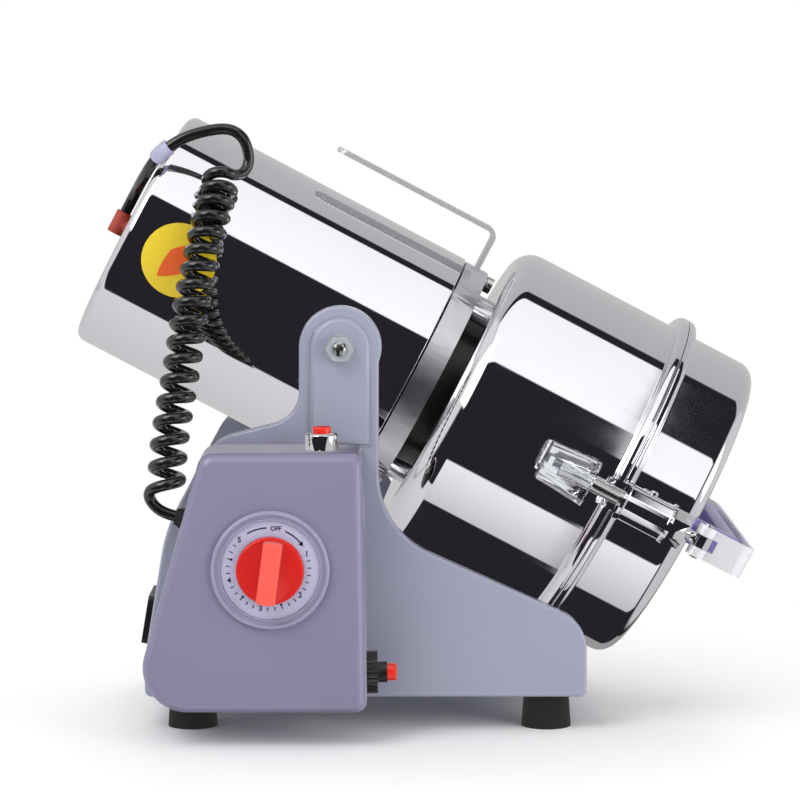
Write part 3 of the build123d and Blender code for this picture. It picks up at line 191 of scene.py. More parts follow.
@dataclass(frozen=True)
class Coating:
    """A skin over metal or a moulding: even colour, faint clouding, fine orange peel and satin sheen, with an
    optional painted highlight.

    Where the real grain is too fine to show, it is drawn coarser.
    """

    name: str
    colour: str
    cloud_colour: str
    cloud_mm: float = 60.0
    grain_mm: float = 1.4
    grain_depth: float = 0.06
    roughness: float = 0.36
    roughness_play: float = 0.08
    metallic: float = 0.0
    coat: float = 0.0
    ior: float = 1.5
    scatter: float = 0.0
    # Paler colour painted on as a highlight where the piece stands proud to the front, and the span in front
    # of the pivot, in millimetres, over which it comes in
    painted_highlight_colour: str = ""
    proud_mm: tuple[float, float] = (0.0, 0.0)
    cloud_detail: float = 3.0
    grain_detail: float = 2.0
    grain_height_mm: float = 0.4
    coat_roughness: float = 0.12
    scatter_mm: float = 2.0

    def material(self) -> bpy.types.Material:
        """The finish as a material; what stands proud to the front turns to a second colour, a painted
        highlight.

        Returns:
            The new material.
        """
        tree = Shader(self.name)
        spot = tree.add("TexCoord").outputs["Object"]
        cloud = tree.add("TexNoise", {"Vector": spot, "Scale": per_metre(self.cloud_mm),
                                      "Detail": self.cloud_detail})
        grain = tree.add("TexNoise", {"Vector": spot, "Scale": per_metre(self.grain_mm),
                                      "Detail": self.grain_detail})
        colour = tree.add("Mix", {"Factor": cloud.outputs["Fac"], MIX_FIRST: linear(self.colour),
                                  MIX_SECOND: linear(self.cloud_colour)}, data_type="RGBA")
        # Painted highlight: towards the front the colour is mixed to a paler one
        if self.painted_highlight_colour:
            low, high = (BODY.pivot[1] - front * MM for front in self.proud_mm)
            depth = tree.add("SeparateXYZ", {"Vector": spot}).outputs["Y"]
            proud = tree.add("MapRange", {"Value": depth, "From Min": low, "From Max": high})
            colour = tree.add("Mix", {"Factor": proud.outputs["Result"],
                                      MIX_FIRST: colour.outputs[MIX_RESULT],
                                      MIX_SECOND: linear(self.painted_highlight_colour)}, data_type="RGBA")
        rough = tree.add("MapRange", {"Value": cloud.outputs["Fac"],
                                      "To Min": self.roughness - self.roughness_play / 2,
                                      "To Max": self.roughness + self.roughness_play / 2})
        bump = tree.add("Bump", {"Height": grain.outputs["Fac"], "Strength": self.grain_depth,
                                 "Distance": self.grain_height_mm * MM})
        skin = tree.add("BsdfPrincipled", {
            "Base Color": colour.outputs[MIX_RESULT], "Roughness": rough.outputs["Result"],
            "Metallic": self.metallic, "IOR": self.ior, "Normal": bump.outputs["Normal"],
            "Coat Weight": self.coat, "Coat Roughness": self.coat_roughness,
            "Subsurface Weight": self.scatter, "Subsurface Scale": self.scatter_mm * MM})
        return tree.close(skin.outputs["BSDF"])


@dataclass(frozen=True)
class Polish:
    """Sheet or turned metal: mirror bright with faint wiping marks, or lined by the tool that cut it.

    Where the real lines are too fine to show, they are drawn coarser.
    """

    name: str
    colour: str
    roughness: float = 0.04
    smear: float = 0.03
    smear_mm: float = 35.0
    line_mm: float = 0.0
    line_depth: float = 0.0
    smear_detail: float = 5.0
    smear_roughness: float = 0.6
    smear_span: tuple[float, float] = (0.35, 0.75)
    dull_share: float = 0.94
    line_stretch: tuple[float, float, float] = (1.0, 0.06, 1.0)
    line_detail: float = 2.0
    line_height_mm: float = 0.2

    def material(self) -> bpy.types.Material:
        """The finish as a material: smears dull it a little, and lines run from front to back.

        Returns:
            The new material.
        """
        tree = Shader(self.name)
        spot = tree.add("TexCoord").outputs["Object"]
        smear = tree.add("TexNoise", {"Vector": spot, "Scale": per_metre(self.smear_mm),
                                      "Detail": self.smear_detail, "Roughness": self.smear_roughness})
        rough = tree.add("MapRange", {"Value": smear.outputs["Fac"], "From Min": self.smear_span[0],
                                      "From Max": self.smear_span[1], "To Min": self.roughness,
                                      "To Max": self.roughness + self.smear})
        bright = linear(self.colour)
        dulled = tuple(self.dull_share * part for part in bright[:3]) + (1.0,)
        dull = tree.add("Mix", {"Factor": smear.outputs["Fac"], MIX_FIRST: bright, MIX_SECOND: dulled},
                        data_type="RGBA")
        sockets = {"Base Color": dull.outputs[MIX_RESULT], "Roughness": rough.outputs["Result"],
                   "Metallic": 1.0}
        if self.line_mm:
            turn = tree.add("Mapping", {"Vector": spot, "Scale": self.line_stretch})
            lines = tree.add("TexNoise", {"Vector": turn.outputs["Vector"], "Scale": per_metre(self.line_mm),
                                          "Detail": self.line_detail})
            bump = tree.add("Bump", {"Height": lines.outputs["Fac"], "Strength": self.line_depth,
                                     "Distance": self.line_height_mm * MM})
            sockets["Normal"] = bump.outputs["Normal"]
        return tree.close(tree.add("BsdfPrincipled", sockets).outputs["BSDF"])


@dataclass(frozen=True)
class ClearResin:
    """Cast clear acrylic: bright edges, the rod showing through, a trace of haze."""

    name: str
    colour: str
    roughness: float = 0.03
    haze_mm: float = 12.0
    haze_detail: float = 3.0
    haze_times: float = 3.0
    ior: float = 1.49

    def material(self) -> bpy.types.Material:
        """The finish as a material.

        Returns:
            The new material.
        """
        tree = Shader(self.name)
        spot = tree.add("TexCoord").outputs["Object"]
        haze = tree.add("TexNoise", {"Vector": spot, "Scale": per_metre(self.haze_mm),
                                     "Detail": self.haze_detail})
        rough = tree.add("MapRange", {"Value": haze.outputs["Fac"], "To Min": self.roughness,
                                      "To Max": self.roughness * self.haze_times})
        resin = tree.add("BsdfPrincipled", {
            "Base Color": linear(self.colour), "Roughness": rough.outputs["Result"],
            "Transmission Weight": 1.0, "IOR": self.ior})
        return tree.close(resin.outputs["BSDF"])


class Finishes(Enum):
    """Every finish on the grinder, named for what the real one is."""

    # Mirror-polished stainless sheet: hard dark and white bands, hardly any colour
    STEEL_SHEET = Polish("polished_stainless_sheet", "#EEEBF0", 0.022, 0.03)
    # Turned bright steel of bolts and rods: softer bands with fine lines
    STEEL_TURNED = Polish("turned_bright_steel", "#D2D2D3", 0.16, 0.08, 9.0, 0.5, 0.12)
    # Machined alloy of the collar: a pale, blurred mirror with tool lines
    ALLOY = Polish("machined_alloy", "#E6E5EA", 0.3, 0.08, 9.0, 0.5, 0.1)
    # Ground blade steel: a grey shine broken by grinding lines
    BLADE = Polish("ground_blade_steel", "#C9CBCE", 0.12, 0.1, 12.0, 0.4, 0.15)
    # Chrome plating: a small, sharp mirror, paler than the turned steel
    CHROME = Polish("bright_chrome", "#E4E4E6", 0.03, 0.03, 8.0)
    # Satin stainless bar of the tilt handle: pale grey with no hard bands
    STEEL_SATIN = Coating("satin_stainless_bar", "#D8D8DA", "#CFCFD2", 18.0, 0.6, 0.02, 0.3, 0.1,
                          metallic=0.5)
    # Zinc plating of nuts and washers: pale, with a cold tint
    ZINC = Coating("zinc_plated_nut", "#DCE2EA", "#D0D6DE", 6.0, 0.6, 0.02, 0.25, 0.1, metallic=0.5)
    # Satin stainless strap over the lid: paler than the handle, nearly white
    STRAP = Coating("satin_stainless_strap", "#F0EEF4", "#E8E6EC", 18.0, 0.6, 0.02, 0.3, 0.1, metallic=0.35)
    # Stacked iron laminations: dull dark grey with fine lines
    LAMINATION = Polish("stacked_laminations", "#77787A", 0.35, 0.1, 10.0, 0.5, 0.3)
    # Enamelled copper wire: a warm brown shine broken by lines
    COPPER = Polish("enamelled_copper", "#B0633A", 0.25, 0.12, 6.0, 0.6, 0.3)
    # Blue-grey paint on a casting: satin with a slight orange peel
    BASE_PAINT = Coating("blue_grey_base_paint", "#9396A9", "#9B9EAF", 90.0, 1.6, 0.05, 0.3, 0.06, coat=0.3)
    # Violet-grey paint of the control box, a little deeper
    BOX_PAINT = Coating("violet_grey_box_paint", "#7C7994", "#807D98", 70.0, 1.4, 0.05, 0.3, 0.06, coat=0.3)
    # Moulded plastic of the dial: an even pale lilac for the ink to stand out on
    DIAL = Coating("printed_dial_plastic", "#ABADC9", "#B1B3CD", 20.0, 0.8, 0.02, 0.3, 0.06)
    # Moulded ring round the dial: deeper lilac with a glossy edge
    BEZEL = Coating("bezel_plastic", "#8F8CA8", "#9592AC", 20.0, 0.8, 0.02, 0.24, 0.06, coat=0.5)
    # Red moulding of the timer's knob, with a painted highlight: the grip that stands proud is painted paler
    KNOB_RED = Coating("red_abs_moulding", "#CC0A02", "#D41204", 12.0, 0.5, 0.03, 0.3, 0.08, coat=0.1,
                       painted_highlight_colour="#F4594C", proud_mm=(153.0, 160.0))
    # Red moulding of the push buttons: a clean, glossy red with a little depth
    BUTTON_RED = Coating("red_button_moulding", "#E2230F", "#EA3320", 6.0, 0.4, 0.02, 0.22, 0.06, coat=0.2,
                         scatter=0.1)
    # Red rubber of the cord's boot: brownish and nearly matt
    BOOT_RED = Coating("red_rubber_boot", "#A2382C", "#AC4638", 8.0, 0.5, 0.06, 0.5, 0.1)
    # Violet moulding of the lid's grip: satin with a soft, deep colour
    GRIP_VIOLET = Coating("violet_moulding", "#756CA6", "#7E75AD", 16.0, 0.6, 0.03, 0.3, 0.08, coat=0.2,
                          scatter=0.1)
    # Lilac plastic sleeve on the cord: pale and soft against the black
    WRAP_LILAC = Coating("lilac_sleeve", "#A6A6C2", "#B0B0CA", 6.0, 0.4, 0.04, 0.35, 0.1, scatter=0.1)
    # Black moulded plastic: near black with a fine grain in its sheen
    BLACK_PLASTIC = Coating("black_moulding", "#161617", "#1C1C1E", 10.0, 0.6, 0.08, 0.38, 0.1)
    # Soft vinyl of the cord: black with a sheen that runs round each curl
    CORD_BLACK = Coating("black_vinyl_cord", "#121214", "#19191B", 5.0, 0.5, 0.03, 0.2, 0.06, coat=0.5)
    # Black rubber of the feet and seals: the darkest, with hardly a sheen
    FOOT_RUBBER = Coating("black_rubber", "#07070A", "#0C0C12", 8.0, 0.7, 0.14, 0.55, 0.1)
    # Printed vinyl: strong flat colours under a thin gloss
    STICKER_YELLOW = Coating("yellow_vinyl_print", "#E0C222", "#E6CA2E", 15.0, 0.7, 0.02, 0.3, 0.06, coat=0.3)
    STICKER_ORANGE = Coating("orange_vinyl_print", "#E2571A", "#E66226", 15.0, 0.7, 0.02, 0.3, 0.06, coat=0.3)
    # Screen-printed ink of the dial: near black and flat
    INK = Coating("black_dial_ink", "#1C1A26", "#24222E", 5.0, 0.5, 0.02, 0.45, 0.08)
    # Pressed carbon of the brushes: dark grey and dusty
    CARBON = Coating("pressed_carbon", "#232323", "#2B2B2B", 4.0, 0.5, 0.1, 0.6, 0.1)
    # Clear cast acrylic of the clamp's knob: bright edges with the rod seen through it
    CLEAR = ClearResin("clear_cast_acrylic", "#F2F5F6")

    def material(self) -> bpy.types.Material:
        """The one material of this finish, made when first asked for."""
        return bpy.data.materials.get(self.value.name) or self.value.material()


def stand(name: str, data: bpy.types.ID) -> bpy.types.Object:
    """A new object in the scene, at the origin.

    Args:
        name: the object's name.
        data: its mesh, lamp or camera.

    Returns:
        The new object.
    """
    thing = bpy.data.objects.new(name, data)
    bpy.context.scene.collection.objects.link(thing)
    return thing


def link(name: str, mesh: bpy.types.Mesh, finish: Finishes) -> bpy.types.Object:
    """A new piece of that mesh and finish, in the scene and at the origin.

    Args:
        name: the piece's name.
        mesh: its mesh, with its place in it.
        finish: its one finish.

    Returns:
        The new object.
    """
    mesh.materials.clear()
    mesh.materials.append(finish.material())
    LOG.info("%s in %s", name, finish.value.name)
    return stand(name, mesh)


def tidy(mesh: bpy.types.Mesh, sharp_deg: float, turn_out: bool = True) -> None:
    """Merge doubled points, point faces outwards and shade smooth up to an edge angle.

    Args:
        mesh: the mesh to tidy.
        sharp_deg: edges that turn by more stay sharp.
        turn_out: recalculate which way the faces point.
    """
    work = bmesh.new()
    work.from_mesh(mesh)
    bmesh.ops.remove_doubles(work, verts=work.verts, dist=MERGE_M)
    bmesh.ops.dissolve_degenerate(work, edges=work.edges, dist=SPECK_M)
    if turn_out:
        bmesh.ops.recalc_face_normals(work, faces=work.faces)
    work.to_mesh(mesh)
    work.free()
    mesh.polygons.foreach_set("use_smooth", np.ones(len(mesh.polygons), bool))
    mesh.set_sharp_from_angle(angle=math.radians(sharp_deg))


def vertices(mesh: bpy.types.Mesh) -> np.ndarray:
    """The mesh's points.

    Args:
        mesh: the mesh to read.

    Returns:
        Points by 3.
    """
    spots = np.empty(len(mesh.vertices) * 3)
    mesh.vertices.foreach_get("co", spots)
    return spots.reshape(-1, 3)


def surface(name: str, points: np.ndarray, finish: Finishes, close_rows: bool = False,
            close_cols: bool = True, sharp_deg: float = SHARP_DEG) -> bpy.types.Object:
    """A piece from a grid of points: each cell of the grid is one face.

    Args:
        name: the piece's name.
        points: rows by columns by 3, in metres.
        finish: its finish.
        close_rows: join the last row to the first.
        close_cols: join the last column to the first.
        sharp_deg: edges that turn by more stay sharp.

    Returns:
        The new object.
    """
    rows, cols = points.shape[:2]
    index = np.arange(rows * cols).reshape(rows, cols)
    index = np.concatenate([index, index[:1]]) if close_rows else index
    index = np.concatenate([index, index[:, :1]], axis=1) if close_cols else index
    corners = [index[:-1, :-1], index[:-1, 1:], index[1:, 1:], index[1:, :-1]]
    faces = np.stack([c.ravel() for c in corners], axis=1)
    mesh = bpy.data.meshes.new(name)
    mesh.from_pydata(points.reshape(-1, 3).tolist(), [], faces.tolist())
    tidy(mesh, sharp_deg)
    return link(name, mesh, finish)


def rounded(corners: Sequence[Sequence[float]], radii: Sequence[float], steps: int = 9) -> np.ndarray:
    """Open profile with tangent arcs: each arc leaves its runs at radius / tan(half the corner's angle).

    Args:
        corners: the profile's corner points.
        radii: one radius a corner, 0 where it stays sharp.
        steps: points on each arc.

    Returns:
        Points of the profile in order.
    """
    corners = np.asarray(corners, float)
    runs = [corners[:1]]
    for before, here, after, radius in zip(corners, corners[1:], corners[2:], radii[1:-1]):
        if not radius:
            runs.append(here[None])
            continue
        back, on = before - here, after - here
        back, on = back / np.linalg.norm(back), on / np.linalg.norm(on)
        half = math.acos(np.clip(back @ on, -1, 1)) / 2
        reach = radius / math.tan(half)
        centre = here + (back + on) / np.linalg.norm(back + on) * radius / math.sin(half)
        start, end = here + back * reach - centre, here + on * reach - centre
        sweep = math.pi - 2 * half
        share = np.linspace(0, 1, steps)[:, None]
        arc = np.sin((1 - share) * sweep) * start + np.sin(share * sweep) * end
        runs.append(centre + arc / math.sin(sweep))
    return np.concatenate(runs + [corners[-1:]])


def held(profile: np.ndarray, hold_mm: float, long_holds: float = 4.0) -> np.ndarray:
    """The profile with a point set in from both ends of each long run, so that shading stays at its rounds.

    Args:
        profile: points in order.
        hold_mm: how far the new points stand from a run's ends.
        long_holds: a run of more than this many holds is long.

    Returns:
        The profile with the new points in it.
    """
    run = np.diff(profile, axis=0)
    length = np.linalg.norm(run, axis=1)
    step = run * (hold_mm / np.maximum(length, hold_mm))[:, None]
    spots = np.stack([profile[:-1], profile[:-1] + step, profile[1:] - step], axis=1)
    wide = length > long_holds * hold_mm
    keep = np.stack([np.ones_like(wide), wide, wide], axis=1)
    return np.concatenate([spots[keep], profile[-1:]])


def runs_of(line: np.ndarray) -> np.ndarray:
    """Length run from a line's first point to each of its points."""
    return np.concatenate([[0], np.cumsum(np.linalg.norm(np.diff(line, axis=0), axis=1))])


def spots_on(line: np.ndarray, runs: np.ndarray) -> np.ndarray:
    """Points of a line at the lengths given, run from its first point."""
    return np.stack([np.interp(runs, runs_of(line), line[:, k]) for k in range(3)], axis=1)


@dataclass(frozen=True)
class Spindle:
    """A line to turn profiles about.

    Radius r at height h and angle t gives origin + axis h + r (side cos t + across sin t).
    """

    origin: np.ndarray
    axis: np.ndarray
    side: np.ndarray
    hold_mm: float = 0.25

    def turn(self, name: str, profile: np.ndarray, finish: Finishes, segments: int = 160,
             sharp_deg: float = SHARP_DEG) -> bpy.types.Object:
        """A turned piece from a profile of radius and height in millimetres.

        Args:
            name: the piece's name.
            profile: points as radius and height.
            finish: its finish.
            segments: steps round the axis.
            sharp_deg: edges that turn by more stay sharp.

        Returns:
            The new object.
        """
        profile = held(profile, self.hold_mm)
        angle = np.linspace(0, 2 * math.pi, segments, endpoint=False)
        across = np.cross(self.axis, self.side)
        ring = np.cos(angle)[:, None] * self.side + np.sin(angle)[:, None] * across
        points = self.origin + MM * (profile[:, None, 1:] * self.axis + profile[:, None, :1] * ring)
        closed = np.allclose(profile[0], profile[-1])
        points = points[:-1] if closed else points
        return surface(name, points, finish, close_rows=closed, sharp_deg=sharp_deg)


def smooth_copy(node: str, finish: Finishes, body: str, sharp_deg: float = 32.0) -> bpy.types.Object:
    """A CAD node's own shape with its triangles joined and shaded smooth.

    Args:
        node: the CAD node.
        finish: its finish.
        body: the body that it rides on.
        sharp_deg: edges that turn by more stay sharp.

    Returns:
        The piece that stands for the node.
    """
    mesh = frame["nodes"][node].data.copy()
    tidy(mesh, sharp_deg, turn_out=False)
    piece = link(node + "_smooth", mesh, finish)
    weigh = piece.modifiers.new("even_faces", "WEIGHTED_NORMAL")
    weigh.keep_sharp = True
    weigh.weight = FACE_PULL
    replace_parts(piece, node)
    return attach(piece, body)


@dataclass(frozen=True)
class Card:
    """A white card for the steel to mirror: its angles, its reach along the axis and its edges' light."""

    angle_deg: tuple[float, float]
    axial: tuple[float, float]
    level: tuple[float, float]
    soft_deg: float = 0.7
    soft_axial: float = 0.004


@dataclass(frozen=True)
class Lamp:
    """A square soft lamp, with its place and width in metres."""

    name: str
    place: tuple[float, float, float]
    width: float
    watts: float


@dataclass
class Studio:
    """Camera, floor, lamps and the ring of cards that the polished steel mirrors."""

    lens_mm: float = 148.5
    sensor_mm: float = 36.0
    clip_m: float = 50.0
    distance_mm: float = 2046.0
    elevation_deg: float = 5.5
    target_right_mm: float = 35.4
    target_below_mm: float = 40.0
    floor_half_m: float = 6.0
    paper_colour: str = "#FBFBFB"
    shadow_reach_m: float = 0.4
    shadow_core_share: float = 0.4
    shadow_squash: float = 0.8
    shadow_right_m: float = -0.03
    even: float = 0.78
    black: tuple[float, float, float, float] = (0.0205, 0.0195, 0.024, 1.0)
    cards: tuple[Card, ...] = (
        Card((38, 96), (-0.8, 0.112), (1.2, 1.1)),
        Card((18, 49), (0.112, 0.5), (1.2, 1.15)),
        Card((104, 190), (-1.0, 1.0), (0.5, 0.6)),
        Card((-190, -62), (-0.8, 0.05), (0.55, 0.78), soft_axial=0.01),
        Card((-77, -39), (0.05, 0.112), (0.66, 1.0), soft_axial=0.01),
        Card((-83, -37), (0.112, 0.5), (0.6, 1.0)),
        Card((-190, -136), (0.05, 0.5), (0.3, 0.34), soft_axial=0.01),
        Card((-190, 190), (-1.1, -0.8), (0.72, 0.85), soft_axial=0.05),
        Card((-190, 190), (0.62, 1.1), (0.6, 0.7), soft_axial=0.06),
        Card((0, 65), (-0.95, -0.6), (4.0, 4.0), soft_deg=4.0, soft_axial=0.05),
        Card((30, 80), (0.7, 0.95), (3.0, 3.0), soft_deg=4.0, soft_axial=0.05),
    )
    lamps: tuple[Lamp, ...] = (
        Lamp("key", (-1.1, -1.5, 1.9), 1.3, 22.0),
        Lamp("fill", (1.5, -1.5, 0.55), 1.0, 14.0),
        Lamp("back", (0.2, 1.8, 1.8), 1.6, 14.0),
    )

    def camera(self) -> None:
        """Stand the camera at the photograph's angle."""
        data = bpy.data.cameras.new("camera")
        data.lens = self.lens_mm
        data.sensor_width = self.sensor_mm
        data.clip_end = self.clip_m
        camera = stand("camera", data)
        tilt = math.radians(self.elevation_deg)
        target = BODY.pivot + np.array([self.target_right_mm, 0, -self.target_below_mm]) * MM
        camera.location = target + np.array([0, -math.cos(tilt), math.sin(tilt)]) * self.distance_mm * MM
        camera.rotation_euler = (math.pi / 2 - tilt, 0, 0)
        bpy.context.scene.camera = camera

    def floor(self) -> None:
        """A wide pale floor: it keeps the soft shadow, is white away from it and stays out of the steel."""
        half = self.floor_half_m
        mesh = bpy.data.meshes.new("floor")
        mesh.from_pydata([(-half, -half, 0), (half, -half, 0), (half, half, 0), (-half, half, 0)], [],
                         [(0, 1, 2, 3)])
        tree = Shader("white_table_paper")
        spot = tree.add("TexCoord").outputs["Object"]
        squash = tree.add("Mapping", {"Vector": spot, "Location": (-self.shadow_right_m, 0.0, 0.0),
                                      "Scale": (1.0, self.shadow_squash, 1.0)})
        away = tree.add("VectorMath", {0: squash.outputs["Vector"]}, operation="LENGTH")
        fade = tree.add("MapRange", {"Value": away.outputs["Value"],
                                     "From Min": self.shadow_reach_m * self.shadow_core_share,
                                     "From Max": self.shadow_reach_m}, interpolation_type="SMOOTHSTEP")
        path = tree.add("LightPath")
        seen = tree.add("Math", {0: fade.outputs["Result"], 1: path.outputs[Ray.CAMERA.value]},
                        operation="MULTIPLY")
        paper = tree.add("BsdfDiffuse", {"Color": linear(self.paper_colour)})
        white = tree.add("Emission", {"Color": WHITE, "Strength": 1.0})
        skin = tree.add("MixShader", {0: seen.outputs["Value"], 1: paper.outputs["BSDF"],
                                      2: white.outputs["Emission"]})
        mesh.materials.append(tree.close(skin.outputs["Shader"]))
        floor = stand("floor", mesh)
        floor.visible_glossy = False

    def card(self, tree: Shader, angle: bpy.types.NodeSocket, axial: bpy.types.NodeSocket, card: Card,
             below: bpy.types.NodeSocket) -> bpy.types.NodeSocket:
        """Lay one card over the cards below it.

        Args:
            tree: the world's tree.
            angle: socket of the angle round the body's axis, in degrees.
            axial: socket of the direction's part along the body's axis.
            card: the card.
            below: socket of the light so far.

        Returns:
            Socket of the lighter of the two.
        """
        masks = []
        spans = ((angle, card.angle_deg, card.soft_deg), (axial, card.axial, card.soft_axial))
        for source, span, soft in spans:
            off = tree.add("Math", {0: source, 1: sum(span) / 2}, operation="SUBTRACT")
            far = tree.add("Math", {0: off.outputs["Value"]}, operation="ABSOLUTE")
            half = abs(span[1] - span[0]) / 2
            edge = tree.add("MapRange", {"Value": far.outputs["Value"], "From Min": half + soft,
                                         "From Max": half - soft}, interpolation_type="SMOOTHSTEP")
            masks.append(edge.outputs["Result"])
        level = tree.add("MapRange", {"Value": angle, "From Min": card.angle_deg[0],
                                      "From Max": card.angle_deg[1], "To Min": card.level[0],
                                      "To Max": card.level[1]})
        mask = tree.add("Math", {0: masks[0], 1: masks[1]}, operation="MULTIPLY")
        lit = tree.add("Math", {0: mask.outputs["Value"], 1: level.outputs["Result"]}, operation="MULTIPLY")
        return tree.add("Math", {0: lit.outputs["Value"], 1: below}, operation="MAXIMUM").outputs["Value"]

    def world(self) -> None:
        """White to the camera, even light on dull surfaces, and white cards on black round the steel.

        A card's place is an angle round the body's axis, from the front over the top, and a part along it.
        """
        world = bpy.data.worlds.new("studio")
        bpy.context.scene.world = world
        world.use_nodes = True
        tree = Shader("studio", world.node_tree)
        way = tree.add("TexCoord").outputs["Generated"]
        parts = [tree.add("VectorMath", {0: way, 1: tuple(line)}, operation="DOT_PRODUCT")
                 for line in (BODY.lift, BODY.front, BODY.along)]
        over, ahead, axial = (part.outputs["Value"] for part in parts)
        turn = tree.add("Math", {0: over, 1: ahead}, operation="ARCTAN2")
        angle = tree.add("Math", {0: turn.outputs["Value"]}, operation="DEGREES").outputs["Value"]
        light = tree.add("Value").outputs["Value"]
        light.default_value = 0.0
        for card in self.cards:
            light = self.card(tree, angle, axial, card, light)
        ring = tree.add("Mix", {"Factor": light, MIX_FIRST: self.black, MIX_SECOND: WHITE}, data_type="RGBA",
                        clamp_factor=False)
        path = tree.add("LightPath")
        plain = tree.add("Mix", {"Factor": path.outputs[Ray.CAMERA.value],
                                 MIX_FIRST: (self.even, self.even, self.even, 1), MIX_SECOND: WHITE},
                         data_type="RGBA")
        mirrored = tree.add("Mix", {"Factor": path.outputs[Ray.GLOSSY.value],
                                    MIX_FIRST: plain.outputs[MIX_RESULT],
                                    MIX_SECOND: ring.outputs[MIX_RESULT]}, data_type="RGBA")
        sky = tree.add("Background", {"Color": mirrored.outputs[MIX_RESULT], "Strength": 1.0})
        tree.add("OutputWorld", {"Surface": sky.outputs["Background"]})

    def lamp(self, lamp: Lamp) -> None:
        """Stand a lamp that looks at the pivot and stays out of mirrors.

        Args:
            lamp: the lamp.
        """
        data = bpy.data.lights.new(lamp.name, "AREA")
        data.size = lamp.width
        data.energy = lamp.watts
        stood = stand(lamp.name, data)
        aim = BODY.pivot - np.array(lamp.place)
        across = math.hypot(aim[0], aim[1])
        stood.location = lamp.place
        stood.rotation_euler = (math.atan2(across, -aim[2]), 0, math.atan2(aim[1], aim[0]) - math.pi / 2)
        stood.visible_glossy = False

    def build(self) -> None:
        """Set up the whole studio."""
        self.camera()
        self.floor()
        self.world()
        for lamp in self.lamps:
            self.lamp(lamp)
        bpy.context.scene.view_settings.view_transform = "Standard"


